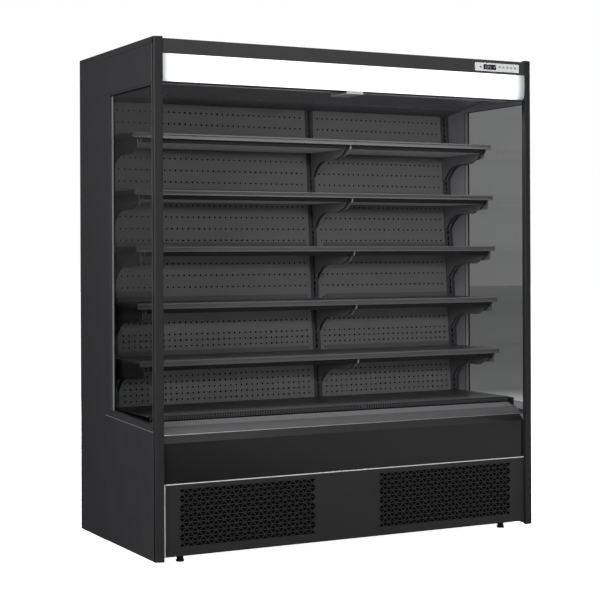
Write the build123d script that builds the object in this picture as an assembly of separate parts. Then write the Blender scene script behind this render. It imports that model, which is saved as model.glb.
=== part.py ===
from build123d import *

import os
from math import cos, radians, sin, sqrt, tan

# Open multideck display fridge.
# Frame: X to the right, Y to the rear, Z up, in millimetres. The origin lies on the floor in the
# middle of the width and of the depth, so the front plane is at -DEPTH / 2.

# ---- overall ---------------------------------------------------------------------------------
WIDTH = 1740.0              # over both end walls
DEPTH = 840.0               # front edge of the posts to the rear skin
HEIGHT = 2000.0             # floor to the top of the end walls
FLOOR_GAP = 15.0            # end walls stop this far above the floor
FIT = 0.3                   # clearance between neighbouring pieces
SHEET = 2.0                 # folded sheet metal
RUNNING_FIT = 0.05          # between a shaft and its bore
ROUND_SIDES = 18            # flats round a pressed can, hub or foot

# ---- end walls -------------------------------------------------------------------------------
END_WALL = 20.0
POST_WIDTH = 35.0
POST_DEPTH = 25.0
POST_SETBACK = 9.0          # how far the post's outer corner lies behind its front edge
POST_ROUND = 4.0
COLUMN_DEPTH = 300.0        # rear column of the end frame
TOP_STRIP = 25.0            # strip of the end frame over the upper panel
SEAM = 1.5                  # bevel along the seams of the end wall's panels
SILL_REAR = 523.0           # the window's lower edge falls a little towards the front
SILL_FALL = 20.0
WINDOW_DROP = 174.0         # top of the end walls to the top of the window
MULLION_REAR = 55.0         # visible widths of the window frame
MULLION_FRONT = 8.0
MULLION_TOP = 8.0
MULLION_SILL = 28.0
GLASS = 6.0
GLASS_SET_IN = 3.0          # inner face of the end wall to the glass
GLASS_GRIP = 5.0            # glass held in the groove of its frame

# ---- rear and shelf wall ---------------------------------------------------------------------
REAR_WALL = 40.0            # insulated rear wall
SWAGE_WIDTH = 60.0          # pressed bands that stiffen its outer skin
SWAGE_DEPTH = 3.0
WALL_LEAN = 3.8             # the perforated wall and the uprights lean back by this angle
WALL_AT_DECK = 538.0        # front plane to the perforated wall, at the height of the deck
PANEL_SPLIT = 845.0         # height of the joint between lower and upper perforated panels
PANEL_RETURN = 15.0
UPRIGHT_WIDTH = 40.0
UPRIGHT_DEPTH = 26.0
UPRIGHT_EDGE = 5.0          # outer uprights stand this far off the end walls
UPRIGHT_SPARE = 20.0        # drawn this much too long at each end, then trimmed
BAY_SPLIT = 121.5           # joint of the trays, to the right of the middle of the width
UPRIGHT_SHIFT = 6.0         # middle upright stands this far left of that joint
SLOT_COLUMN = 15.5          # slot columns lie this far either side of an upright's middle
SLOT_DROP = 25.0            # shelf top to the upper hook's slot
SLOT_WIDTH = 4.0
SLOT_HEIGHT = 20.0

# ---- shelves ---------------------------------------------------------------------------------
SHELF_LEVELS = 5
LOWEST_SHELF = 757.0        # top of the lowest shelf above the floor
TOP_SHELF_DROP = 343.0      # top of the end walls to the highest shelf
SLOTS_PER_SHELF = 3
TRAY_DEPTH = 332.0
TRAY_HEIGHT = 20.0          # front flange
UPSTAND = 20.0              # rear edge that keeps goods off the wall
UPSTAND_INSET = 45.0        # upstand ends this far inside the tray's ends
TRAY_SIDE = 18.0            # side and rear flanges
TRAY_LIP = 12.0
TRAY_END_GAP = 4.0          # tray to end wall
TRAY_JOINT = 2.0            # between the trays of two bays
TRAY_REAR_GAP = 4.0
RAIL_HEIGHT = 20.0
RAIL_DEPTH = 6.0
RAIL_WALL = 1.5
RAIL_LIP = 4.5
RAIL_SHIFT = 32.0           # the ticket rails meet this far right of the trays' joint
BRACKET = 3.0               # plate thickness
BRACKET_REACH = 310.0
BRACKET_NOSE = 56.0         # height at the front end
BRACKET_NOSE_LENGTH = 66.0
BRACKET_SLANT = 44.0
BRACKET_HEEL = 33.0         # heel of the plate below the lower hook's slot
BRACKET_CURVE = 58.0        # radius between arm and heel
BRACKET_FLANGE = 18.0       # turned-in front end
BRACKET_BORDER = 5.0        # plate left round the window behind the nose
BRACKET_WINDOW = 30.0
BRACKET_WINDOW_TOP = 26.0   # underside of the shelf to the window
HOOK_DROP = 6.0

# ---- cold deck -------------------------------------------------------------------------------
DECK_HEIGHT = 552.0
DECK_FRONT = 152.0          # front plane to the deck's front lip
DECK_LIP = 22.0
TUB_FLOOR = 380.0
TUB_SHELL = 40.0
NOSE_DEPTH = 110.0          # front plane to the tub's inner face
FRAME_PLATE = 3.0
DECK_RAIL = 20.0            # flanges that the deck pans rest on
FAN_PLATE = 300.0           # front plane to the fan plate
NOSE_MARGIN = 1.0           # flat top of the nose starts this far above the bumper
RETURN_INSET = 2.0          # and the return grille this far behind it
RETURN_SEAT = 4.0           # grille on the inner edge of the nose
RETURN_RISE = 16.0
RETURN_HOOK = 12.0

# ---- front -----------------------------------------------------------------------------------
PANEL_FACE = 20.0           # front plane to the front panels
PANEL_TOP = 459.0           # where the front panel starts to slope back
PANEL_BOTTOM = 305.0
BEVEL = 45.0                # slope of the nose
BEVEL_SHEET = 38.0          # length of the front panel's sloping part
TRIM = 2.4                  # bright strip under the bumper
BUMPER_WIDTH = 43.0
BUMPER_THICKNESS = 10.5
BUMPER_CROWN = 0.6          # middle of the bumper's face stands out
BUMPER_LOW_EDGE = 1.0       # and its edges lie back
BUMPER_HIGH_EDGE = 1.5
TRIM_INSET = 0.2
KICK_TOP = 302.0
KICK_BOTTOM = 28.0
KICK_RETURN = 30.0
GRILLE_HEIGHT = 221.0
GRILLE_FOOT = 62.0          # lower edge of the grille fields above the floor
GRILLE_MARGIN = 64.0        # posts to the grille fields
PIER_LEFT = -174.0          # plain sheet between the two fields
PIER_RIGHT = 110.0
GRILLE_ROWS = 5
GRILLE_BASE = 82.0          # base of one triangle of the lattice, before it is fitted in
GRILLE_WEB = 7.0            # sheet left between neighbouring triangles

# ---- canopy ----------------------------------------------------------------------------------
ROOF_DROP = 8.0             # top of the end walls to the top of the roof
ROOF_THICKNESS = 40.0
FASCIA_FACE = 6.0           # front plane to the fascia and the light box
FASCIA_DEPTH = 52.0
FASCIA_HEIGHT = 55.0        # visible below the roof's top
LIGHT_BOX_HEIGHT = 106.0
DOWNSTAND_RISE = 4.0        # roof's down-stand ends this far above the light box's foot
LIGHT_BOX_ROUND = 20.0
LIGHT_BOX_BULGE = 3.0
DIFFUSER = 3.0
CEILING_DROP = 187.0        # top of the end walls to the ceiling at the perforated wall
CEILING_RISE = 7.9          # the ceiling rises towards the front by this angle
CEILING_OVERRUN = 6.0       # ceiling runs on behind the uprights
OUTLET_FRONT = 163.0        # front plane to the air outlet
OUTLET_WIDTH = 70.0
OUTLET_THICKNESS = 18.0
OUTLET_BARS = 24
OUTLET_WEB = 4.0

# ---- night blind -----------------------------------------------------------------------------
CASSETTE_DEPTH = 84.0
CASSETTE_HEIGHT = 101.7
ROLL_RADIUS = 22.0
ROLL_CENTRE = 50.0          # cassette's front face to the roller's axis
ROLL_RISE = 43.0            # underside of the cassette to the roller's axis
ROLL_END_GAP = 12.0
PIN_RADIUS = 5.0
PIN_END_GAP = 0.5           # pin's end inside the face of the cassette
CURTAIN = 1.0
CURTAIN_END_GAP = 20.0
BAR_DEPTH = 12.0
BAR_HEIGHT = 12.0
BAR_HANG = 2.0              # pull bar below the cassette
GRIP_WIDTH = 76.0
GRIP_DROP = 12.0            # foot of the light box to the underside of the grip
GRIP_THICKNESS = 3.0
GRIP_PROUD = 3.0            # its turned-up lip stands in front of the light box

# ---- controls --------------------------------------------------------------------------------
CONTROL_INSET = 141.0       # right post to the middle of the control plate
CONTROL_DROP = 28.5         # top of the roof to the middle of the control plate
CONTROL_WIDTH = 224.0
CONTROL_HEIGHT = 35.0
CONTROL_PLATE = 2.0
CONTROL_ROUND = 2.0
CONTROL_BOX_DEPTH = 30.0
CONTROL_BOX_MARGIN = 5.0
DISPLAY_WIDTH = 64.0
DISPLAY_HEIGHT = 22.0
DISPLAY_LEFT = 42.0         # left edge of the plate to the display
DISPLAY_RECESS = 1.2
KEYS = 5
KEY_PITCH = 19.8
FIRST_KEY = 124.0           # left edge of the plate to the first key
KEY_WIDTH = 12.0
KEY_HEIGHT = 8.0
KEY_PROUD = 1.0
KEY_RISE = 2.0              # keys lie this far above the middle of the plate
KEY_DEPTH = 5.0
KEY_TRAVEL = 1.0

# ---- base and machinery ----------------------------------------------------------------------
FRAME_BOTTOM = 50.0
FRAME_RAIL = 32.0           # width of the base frame's channels
FRAME_RAIL_HEIGHT = 40.0
FRAME_GAUGE = 3.0
BASE_PLATE = 1.5
FOOT_INSET = 105.0          # inner face of an end wall to a foot
FOOT_RADIUS = 16.0
FOOT_COLLAR = 13.0          # rubber sleeve round the stem
FOOT_DISC = 9.0
FOOT_NUT = 11.0
STEM_RADIUS = 6.0
STEM_LENGTH = 30.0
COMPRESSOR_INSET = 430.0    # right end wall to the compressor's axis
COMPRESSOR_RADIUS = 85.0
COMPRESSOR_HEIGHT = 190.0
COMPRESSOR_FROM_FRONT = 420.0
COMPRESSOR_PLATE = 4.0
COMPRESSOR_MOUNT_WIDTH = 187.0
COMPRESSOR_MOUNT_DEPTH = 119.0
COMPRESSOR_RUBBER = 12.0    # edge of a rubber foot
TERMINAL_WIDTH = 50.0
TERMINAL_DEPTH = 30.0
TERMINAL_HEIGHT = 60.0
COIL_INSET = 380.0          # left end wall to the middle of the condenser
COIL_WIDTH = 420.0
COIL_DEPTH = 70.0
COIL_HEIGHT = 200.0
COIL_FROM_FRONT = 130.0
COIL_FINS = 10
COIL_GROOVE = 0.6           # share of the fins' pitch that is open
COVER_SLOT_WIDTH = 10.0     # ventilation slots of the rear cover
COVER_SLOT_HEIGHT = 120.0
COVER_SLOT_PITCH = 34.0
COVER_SLOTS = 9
FAN_RADIUS = 90.0
FAN_DEPTH = 26.0
FAN_HUB = 26.0
FAN_HUB_LENGTH = 21.0
FAN_BLADES = 5
BLADE_ROOT = 0.8            # blades start at this share of the hub's radius
BLADE_CHORD = 0.55          # blade's width as a share of the fan's radius
BLADE_ANGLE = 35.0
FAN_TIP_GAP = 3.0
FAN_STAND = 13.0            # opening's front face to the fan's middle
SHROUD = 34.0
SPIDER = 8.0
MOTOR_RADIUS = 22.0
MOTOR_DEPTH = 30.0
SHAFT_RADIUS = 4.0
EVAPORATOR_INSET = 100.0    # end walls to the evaporator's ends
EVAPORATOR_DEPTH = 110.0
EVAPORATOR_HEIGHT = 130.0
EVAPORATOR_FROM_FRONT = 400.0
EVAPORATOR_FINS = 18
COLD_FAN_INSET = 490.0      # left end wall to the evaporator fan's axis
COLD_FAN_RADIUS = 66.0

# ---- places worked out from the sizes above --------------------------------------------------
FRONT = -DEPTH / 2
REAR = DEPTH / 2
HALF_WIDTH = WIDTH / 2
INNER = HALF_WIDTH - END_WALL           # inner face of an end wall
POST_INNER = HALF_WIDTH - POST_WIDTH
COLUMN_Y = REAR - COLUMN_DEPTH
REAR_WALL_Y = REAR - REAR_WALL
FRAME_Y = FRONT + POST_DEPTH
PANEL_Y = FRONT + PANEL_FACE
BETWEEN_POSTS = 2 * (POST_INNER - FIT)
BETWEEN_WALLS = 2 * (INNER - FIT)
WINDOW_TOP = HEIGHT - WINDOW_DROP
ROOF_TOP = HEIGHT - ROOF_DROP
CEILING_REAR = HEIGHT - CEILING_DROP
FASCIA_BOTTOM = ROOF_TOP - FASCIA_HEIGHT
LIGHT_BOX_BOTTOM = FASCIA_BOTTOM - LIGHT_BOX_HEIGHT
CASSETTE_TOP = ROOF_TOP - ROOF_THICKNESS - FIT
CASSETTE_BOTTOM = CASSETTE_TOP - CASSETTE_HEIGHT
ROLL_HEIGHT = CASSETTE_BOTTOM + ROLL_RISE
BAR_TOP = CASSETTE_BOTTOM - BAR_HANG
CONTROL_X = POST_INNER - CONTROL_INSET
CONTROL_Z = ROOF_TOP - CONTROL_DROP
SHELF_STEP = (HEIGHT - TOP_SHELF_DROP - LOWEST_SHELF) / (SHELF_LEVELS - 1)
SLOT_PITCH = SHELF_STEP / SLOTS_PER_SHELF
HEEL_DEPTH = SLOT_DROP + SLOT_PITCH + BRACKET_HEEL      # shelf's underside to the bracket's heel
FOOT_X = INNER - FOOT_INSET
COMPRESSOR_X = INNER - COMPRESSOR_INSET
COIL_X = COIL_INSET - INNER
EVAPORATOR_WIDTH = 2 * (INNER - EVAPORATOR_INSET)
COLD_FAN_X = COLD_FAN_INSET - INNER
OUTER_UPRIGHT = INNER - UPRIGHT_EDGE - UPRIGHT_WIDTH / 2
MIDDLE_UPRIGHT = BAY_SPLIT - UPRIGHT_SHIFT
UPRIGHTS = (-OUTER_UPRIGHT, MIDDLE_UPRIGHT, OUTER_UPRIGHT)
DOWNSTAND_Y = FRONT + FASCIA_FACE + FASCIA_DEPTH + FIT
CASSETTE_Y = DOWNSTAND_Y + SHEET * 2 + FIT
ROLL_Y = CASSETTE_Y + ROLL_CENTRE
BLIND_Y = ROLL_Y + ROLL_RADIUS          # the curtain leaves the roll at its rear side
FRAME_TOP = TUB_FLOOR - TUB_SHELL - FIT
RAIL_FRONT_Y = PANEL_Y + KICK_RETURN + FIT      # front face of the base frame
RAIL_REAR_Y = REAR - FIT
BASE_FLOOR = FRAME_BOTTOM + FRAME_RAIL_HEIGHT + BASE_PLATE


# ---- helpers ---------------------------------------------------------------------------------
def block(low, high):
    """A box between two corners."""
    size = [high[i] - low[i] for i in range(3)]
    middle = [(high[i] + low[i]) / 2 for i in range(3)]
    return Pos(*middle) * Box(*size)


def along_x(section, start, end):
    """A Y-Z outline, given as a face on the plane through Y and Z, drawn from start to end."""
    return Pos(start, 0, 0) * extrude(Plane.YZ * section, end - start, dir=(1, 0, 0))


def outline(*points):
    """A closed face through points."""
    return make_face(Polyline(*points, close=True))


def wall_y(height):
    """The face of the leaning wall at a height."""
    return FRONT + WALL_AT_DECK + (height - DECK_HEIGHT) * tan(radians(WALL_LEAN))


def on_bevel(along, into):
    """A point on the sloping nose: along it from its lower edge, and into it from its face."""
    slope = radians(BEVEL)
    y = PANEL_Y + along * cos(slope) + into * sin(slope)
    return (y, PANEL_TOP + along * sin(slope) - into * cos(slope))


def ceiling_z(y):
    """Underside of the sloping ceiling."""
    return CEILING_REAR + (wall_y(CEILING_REAR) - y) * tan(radians(CEILING_RISE))


def leaning(piece):
    """Lean a piece that was drawn upright with its face at Y 0 and the deck at Z 0."""
    return Pos(0, wall_y(DECK_HEIGHT), DECK_HEIGHT) * Rot(-WALL_LEAN, 0, 0) * piece


def below_ceiling(low):
    """The space between a height and the ceiling, to trim what stands in it."""
    section = outline((FRONT, low), (REAR, low), (REAR, ceiling_z(REAR)), (FRONT, ceiling_z(FRONT)))
    return along_x(section, -HALF_WIDTH, HALF_WIDTH)


def shelf_height(level):
    return LOWEST_SHELF + (level - 1) * SHELF_STEP


def mirrored(piece):
    return mirror(piece, about=Plane.YZ)


# ---- end walls, drawn for the right side -----------------------------------------------------
def sill_z(y):
    """Lower edge of the window, which falls towards the front."""
    return SILL_REAR - SILL_FALL * (COLUMN_Y - y) / (COLUMN_Y - FRAME_Y)


def end_post():
    """Rounded front post over the edges of the end wall."""
    section = outline(
        (POST_INNER, FRONT + POST_DEPTH - FIT), (POST_INNER, FRONT),
        (HALF_WIDTH - POST_ROUND, FRONT + POST_SETBACK),
        (HALF_WIDTH, FRONT + POST_SETBACK + POST_ROUND), (HALF_WIDTH, FRONT + POST_DEPTH - FIT))
    corner = section.vertices().sort_by(Axis.Y)[0]
    section = fillet(corner, POST_ROUND)
    drop = section.bounding_box().min.Y - FRONT
    return Pos(0, -drop, FLOOR_GAP) * extrude(section, HEIGHT - FLOOR_GAP)


def end_frame():
    """Rear column and top strip of the end wall in one piece."""
    column = block((INNER, COLUMN_Y, FLOOR_GAP), (HALF_WIDTH, REAR, HEIGHT))
    strip = block((INNER, FRAME_Y, HEIGHT - TOP_STRIP), (HALF_WIDTH, COLUMN_Y, HEIGHT))
    frame = column + strip
    rear_edge = frame.edges().filter_by(Axis.Z).group_by(Axis.Y)[-1].sort_by(Axis.X)[-1]
    return fillet(rear_edge, POST_ROUND)


def end_section(points):
    """An end wall piece from its outline seen from the side, bevelled along its outer edges."""
    piece = along_x(outline(*points), INNER, HALF_WIDTH)
    return chamfer(piece.faces().sort_by(Axis.X)[-1].edges(), SEAM)


def end_upper_panel():
    low, high = WINDOW_TOP + FIT, HEIGHT - TOP_STRIP - FIT
    rear = COLUMN_Y - FIT
    return end_section([(FRAME_Y, low), (rear, low), (rear, high), (FRAME_Y, high)])


def end_lower_panel():
    rear = COLUMN_Y - FIT
    return end_section([
        (FRAME_Y, FLOOR_GAP), (rear, FLOOR_GAP), (rear, sill_z(rear) - FIT),
        (FRAME_Y, sill_z(FRAME_Y) - FIT)])


def window_opening(grow):
    """Outline of the daylight opening, grown by the glass held in the frame."""
    front = FRAME_Y + MULLION_FRONT - grow
    rear = COLUMN_Y - MULLION_REAR + grow
    low, top = MULLION_SILL - grow, WINDOW_TOP - MULLION_TOP + grow
    return [(front, sill_z(front) + low), (rear, sill_z(rear) + low), (rear, top), (front, top)]


def window_frame():
    """Ring round the glass, with a groove that holds it."""
    rear = COLUMN_Y - FIT
    ring = end_section([
        (FRAME_Y, sill_z(FRAME_Y)), (rear, sill_z(rear)), (rear, WINDOW_TOP), (FRAME_Y, WINDOW_TOP)])
    daylight = along_x(outline(*window_opening(0)), INNER, HALF_WIDTH)
    return ring - daylight - side_glass(GLASS_GRIP + FIT, FIT)


def side_glass(grip=GLASS_GRIP, ease=0.0):
    start = INNER + GLASS_SET_IN - ease
    return along_x(outline(*window_opening(grip)), start, start + GLASS + 2 * ease)


# ---- rear and leaning shelf wall -------------------------------------------------------------
def rear_wall():
    """Insulated rear wall between the end frames, with a stiffening swage on its rear skin."""
    low, high = FRAME_TOP + FIT, ROOF_TOP
    wall = block((-INNER + FIT, REAR_WALL_Y, low), (INNER - FIT, REAR, high))
    end = INNER - SWAGE_WIDTH
    for height in (low + (high - low) / 3, low + 2 * (high - low) / 3):
        wall -= block((-end, REAR - SWAGE_DEPTH, height), (end, REAR, height + SWAGE_WIDTH))
    return wall


def duct_pan(left, right, low, high):
    """A perforated panel's pan, drawn upright, with its edges folded back."""
    pan = block((left, 0, low), (right, PANEL_RETURN, high))
    return pan - block((left + SHEET, SHEET, low + SHEET), (right - SHEET, PANEL_RETURN, high - SHEET))


def duct_panel(left_upright, right_upright):
    """Lower and upper perforated panels of one bay."""
    left = left_upright + UPRIGHT_WIDTH / 2 + FIT
    right = right_upright - UPRIGHT_WIDTH / 2 - FIT
    split = (PANEL_SPLIT - DECK_HEIGHT) / cos(radians(WALL_LEAN))
    top = (CEILING_REAR - DECK_HEIGHT) / cos(radians(WALL_LEAN)) - SHEET
    lower = leaning(duct_pan(left, right, FIT, split - FIT))
    upper = leaning(duct_pan(left, right, split, top))
    return [lower, upper]


def slot_heights():
    """Heights of the slots' upper ends above the deck, along the leaning face."""
    below = int((LOWEST_SHELF - SLOT_DROP - SLOT_HEIGHT - DECK_HEIGHT) / SLOT_PITCH)
    first = LOWEST_SHELF - SLOT_DROP - below * SLOT_PITCH
    count = int((CEILING_REAR - first) / SLOT_PITCH)
    return [(first + SLOT_PITCH * i - DECK_HEIGHT) / cos(radians(WALL_LEAN)) for i in range(count)]


def upright(x):
    """Slotted channel that the shelf brackets hook into, with a slot column for each bracket."""
    foot = TUB_FLOOR - DECK_HEIGHT - UPRIGHT_SPARE
    top = CEILING_REAR - DECK_HEIGHT + UPRIGHT_SPARE
    half = UPRIGHT_WIDTH / 2
    post = block((x - half, 0, foot), (x + half, UPRIGHT_DEPTH, top))
    post -= block((x - half + SHEET, SHEET, foot), (x + half - SHEET, UPRIGHT_DEPTH, top))
    columns = [c for c in bracket_places("left") + bracket_places("right") if abs(c - x) < half]
    for column in columns:
        for height in slot_heights():
            low = (column - SLOT_WIDTH / 2, -SHEET, height - SLOT_HEIGHT)
            post -= block(low, (column + SLOT_WIDTH / 2, 2 * SHEET, height))
    return leaning(post) & below_ceiling(TUB_FLOOR + FIT)


# ---- shelves ---------------------------------------------------------------------------------
def bay_ends(bay):
    """Where the tray of a bay starts and ends."""
    if bay == "left":
        return (-INNER + TRAY_END_GAP, BAY_SPLIT - TRAY_JOINT / 2)
    return (BAY_SPLIT + TRAY_JOINT / 2, INNER - TRAY_END_GAP)


def rail_ends(bay):
    """The left ticket rail runs on over the trays' joint and keeps both trays in line."""
    if bay == "left":
        return (-INNER + TRAY_END_GAP, BAY_SPLIT + RAIL_SHIFT - FIT)
    return (BAY_SPLIT + RAIL_SHIFT + FIT, INNER - TRAY_END_GAP)


def bracket_places(bay):
    """Each bay hangs from the right slot column of its left upright and one of its right."""
    if bay == "left":
        return (-OUTER_UPRIGHT + SLOT_COLUMN, MIDDLE_UPRIGHT - SLOT_COLUMN)
    return (MIDDLE_UPRIGHT + SLOT_COLUMN, OUTER_UPRIGHT + SLOT_COLUMN)


def tray_rear(height):
    return wall_y(height) - TRAY_REAR_GAP


def tray(bay, height):
    """Folded shelf tray with notches where the brackets pass its rear flange."""
    left, right = bay_ends(bay)
    rear = tray_rear(height)
    front = rear - TRAY_DEPTH
    low = height - TRAY_HEIGHT
    pan = block((left, front, low), (right, rear, height))
    pan -= block((left + SHEET, front + SHEET, low + SHEET), (right - SHEET, rear - SHEET, height - SHEET))
    pan -= block((left + SHEET, front + TRAY_LIP, low), (right - SHEET, rear - SHEET, low + SHEET))
    pan -= block((left, front + TRAY_LIP, low), (right, rear, height - TRAY_SIDE))
    notch = BRACKET / 2 + SHEET
    for x in bracket_places(bay):
        pan -= block((x - notch, rear - SHEET, low), (x + notch, rear, height - SHEET))
    return pan + block(
        (left + UPSTAND_INSET, rear - SHEET, height - SHEET), (right - UPSTAND_INSET, rear, height + UPSTAND))


def ticket_rail(bay, height):
    """Price rail clipped along the front of the trays."""
    left, right = rail_ends(bay)
    back = tray_rear(height) - TRAY_DEPTH - FIT
    face = back - RAIL_DEPTH
    low = height - RAIL_HEIGHT
    section = outline(
        (back, low), (back, height), (face, height), (face, height - RAIL_LIP),
        (face + RAIL_WALL, height - RAIL_LIP), (face + RAIL_WALL, height - RAIL_WALL),
        (back - RAIL_WALL, height - RAIL_WALL), (back - RAIL_WALL, low + RAIL_WALL),
        (face + RAIL_WALL, low + RAIL_WALL), (face + RAIL_WALL, low + RAIL_LIP),
        (face, low + RAIL_LIP), (face, low))
    return along_x(section, left, right)


def bracket(x, height, inward):
    """Shelf bracket: a plate with a curved heel, two hooks and a nose turned into its bay."""
    top = height - SHEET - FIT
    face = wall_y(height)
    nose = face - BRACKET_REACH
    heel = top - HEEL_DEPTH
    arm = heel + BRACKET_CURVE
    heel_y = wall_y(heel) - FIT - BRACKET_CURVE / 3
    step = nose + BRACKET_NOSE_LENGTH
    edge = Polyline(
        (heel_y, heel), (wall_y(heel) - FIT, heel), (wall_y(top) - FIT, top), (nose, top),
        (nose, top - BRACKET_NOSE), (step, top - BRACKET_NOSE), (step + BRACKET_SLANT, arm),
        (heel_y - BRACKET_CURVE, arm))
    curve = RadiusArc((heel_y - BRACKET_CURVE, arm), (heel_y, heel), BRACKET_CURVE)
    plate = along_x(make_face(Wire([*edge.edges(), *curve.edges()])), x - BRACKET / 2, x + BRACKET / 2)
    start, end = sorted((x, x + inward * BRACKET_FLANGE))
    plate += block((start, nose, top - BRACKET_NOSE), (end, nose + BRACKET, top))
    window = nose + BRACKET + BRACKET_BORDER
    plate -= block(
        (x - BRACKET, window, top - BRACKET_NOSE + BRACKET_BORDER),
        (x + BRACKET, window + BRACKET_WINDOW, top - BRACKET_WINDOW_TOP))
    for slots_down in range(2):
        slot_top = height - SLOT_DROP - slots_down * SLOT_PITCH - FIT
        root = wall_y(slot_top) - FIT
        hook = outline(
            (root - SHEET, slot_top - 2 * HOOK_DROP), (root - SHEET, slot_top - HOOK_DROP / 2),
            (root + 2 * SHEET + 2 * FIT, slot_top - HOOK_DROP / 2),
            (root + 2 * SHEET + 2 * FIT, slot_top - 2 * HOOK_DROP))
        plate += along_x(hook, x - BRACKET / 2, x + BRACKET / 2)
    return plate


# ---- cold deck -------------------------------------------------------------------------------
def base_tub():
    """Insulated tub: its floor, and the front wall that the nose is built on."""
    outer = FRONT + POST_DEPTH + FIT
    under = SHEET + FIT
    seat = BUMPER_THICKNESS + 2 * FIT
    start = on_bevel(0, under)
    start_z = start[1] + (outer - start[0])
    top = nose_edge()
    inner = FRONT + NOSE_DEPTH
    section = outline(
        (outer, TUB_FLOOR - TUB_SHELL), (outer, start_z), on_bevel(BEVEL_SHEET, under),
        on_bevel(BEVEL_SHEET, seat), top, (inner, top[1]), (inner, TUB_FLOOR),
        (REAR_WALL_Y - FIT, TUB_FLOOR), (REAR_WALL_Y - FIT, TUB_FLOOR - TUB_SHELL))
    return along_x(section, -BETWEEN_WALLS / 2, BETWEEN_WALLS / 2)


def nose_edge():
    """Where the slope that carries the bumper meets the flat top of the nose."""
    return on_bevel(BEVEL_SHEET + TRIM + BUMPER_WIDTH + NOSE_MARGIN, BUMPER_THICKNESS + 2 * FIT)


def nose_top():
    """Height of the tub's front wall."""
    return nose_edge()[1]


def deck_frame():
    """Welded frame in the tub: two side plates, the fan plate and two rails for the pans."""
    top = DECK_HEIGHT - SHEET - FIT
    front = FRONT + NOSE_DEPTH + FIT
    rear = wall_y(TUB_FLOOR) - 2 * FIT
    side = INNER - 2 * FIT
    frame = block((-side, front, TUB_FLOOR + FIT), (-side + FRAME_PLATE, rear, top))
    frame += block((side - FRAME_PLATE, front, TUB_FLOOR + FIT), (side, rear, top))
    plate = FRONT + FAN_PLATE
    frame += block((-side, plate, TUB_FLOOR + FIT), (side, plate + FRAME_PLATE, top))
    rail = FRONT + DECK_FRONT + SHEET + FIT
    frame += block((-side, rail, top - FRAME_PLATE), (side, rail + DECK_RAIL, top))
    frame += block((-side, rail, nose_top() - DECK_RAIL), (side, rail + FRAME_PLATE, top))
    frame += block((-side, rear - DECK_RAIL, top - FRAME_PLATE), (side, rear, top))
    frame -= Pos(COLD_FAN_X, plate + FRAME_PLATE / 2, cold_fan_z()) * round_hole(COLD_FAN_RADIUS)
    return frame + motor(COLD_FAN_X, plate, cold_fan_z(), COLD_FAN_RADIUS + FAN_TIP_GAP)


def deck_pan(bay):
    """Lift-out deck pan with its front lip."""
    left, right = bay_ends(bay)
    front = FRONT + DECK_FRONT
    rear = wall_y(DECK_HEIGHT - TRAY_LIP) - 2 * FIT
    low = DECK_HEIGHT - DECK_LIP
    pan = block((left, front, low), (right, rear, DECK_HEIGHT))
    pan -= block((left, front + SHEET, low), (right, rear, DECK_HEIGHT - SHEET))
    return pan


def return_grille():
    """Return-air grille between the nose and the deck."""
    front = nose_edge()[0] + RETURN_INSET
    seat = nose_top() + FIT
    rear = FRONT + DECK_FRONT - FIT
    step = FRONT + NOSE_DEPTH - RETURN_SEAT
    top = seat + RETURN_RISE
    hook = seat - RETURN_HOOK
    section = outline(
        (front, seat), (step, seat), (rear - SHEET, top - SHEET), (rear - SHEET, hook),
        (rear, hook), (rear, top), (rear - SHEET, top), (step, seat + SHEET),
        (front, seat + SHEET))
    return along_x(section, -INNER + TRAY_END_GAP, INNER - TRAY_END_GAP)


# ---- front -----------------------------------------------------------------------------------
def front_panel():
    """Front panel: an upright face, a slope on the nose and folded returns."""
    back = PANEL_Y + SHEET
    inner_top = on_bevel(0, SHEET)
    bend_z = inner_top[1] + (back - inner_top[0])
    lip = POST_DEPTH - PANEL_FACE
    section = outline(
        (PANEL_Y, PANEL_BOTTOM), (PANEL_Y, PANEL_TOP), on_bevel(BEVEL_SHEET, 0),
        on_bevel(BEVEL_SHEET, SHEET), (back, bend_z), (back, PANEL_BOTTOM + SHEET),
        (PANEL_Y + lip, PANEL_BOTTOM + SHEET), (PANEL_Y + lip, PANEL_BOTTOM))
    return along_x(section, -BETWEEN_POSTS / 2, BETWEEN_POSTS / 2)


def bumper():
    """Bumper with a crowned face, and the bright trim strip along its lower edge."""
    start = BEVEL_SHEET + FIT
    low = start + TRIM
    high = low + BUMPER_WIDTH
    back = BUMPER_THICKNESS + FIT
    foot = on_bevel(low, BUMPER_LOW_EDGE)
    head = on_bevel(high, BUMPER_HIGH_EDGE)
    crown = ThreePointArc(foot, on_bevel((low + high) / 2, -BUMPER_CROWN), head)
    sides = Polyline(head, on_bevel(high, back), on_bevel(low, back), foot)
    profile = make_face(Wire([*crown.edges(), *sides.edges()]))
    strip = outline(
        on_bevel(start, TRIM_INSET), on_bevel(low - FIT, TRIM_INSET), on_bevel(low - FIT, back),
        on_bevel(start, back))
    half = BETWEEN_POSTS / 2
    return [along_x(profile, -half, half), along_x(strip, -half, half)]


def lattice_triangles(width):
    """Triangular holes that fill one grille field, alternately point up and point down."""
    row = GRILLE_HEIGHT / GRILLE_ROWS
    columns = round(2 * width / GRILLE_BASE) - 1
    base = 2 * width / (columns + 1)
    side = sqrt((base / 2) ** 2 + row ** 2)
    centre = row * base / (base + 2 * side)         # radius of the circle inside a triangle
    shrink = 1 - GRILLE_WEB / 2 / centre
    half = base / 2 * shrink
    up = [(-half, -centre * shrink), (half, -centre * shrink), (0, (row - centre) * shrink)]
    holes = []
    for r in range(GRILLE_ROWS):
        for c in range(columns):
            points_up = (r + c) % 2 == 0
            x = (c + 1) * base / 2
            z = r * row + (centre if points_up else row - centre)
            turn = 1 if points_up else -1
            holes.append(outline(*[(x + px, z + turn * pz) for px, pz in up]))
    return Sketch() + holes


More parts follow.
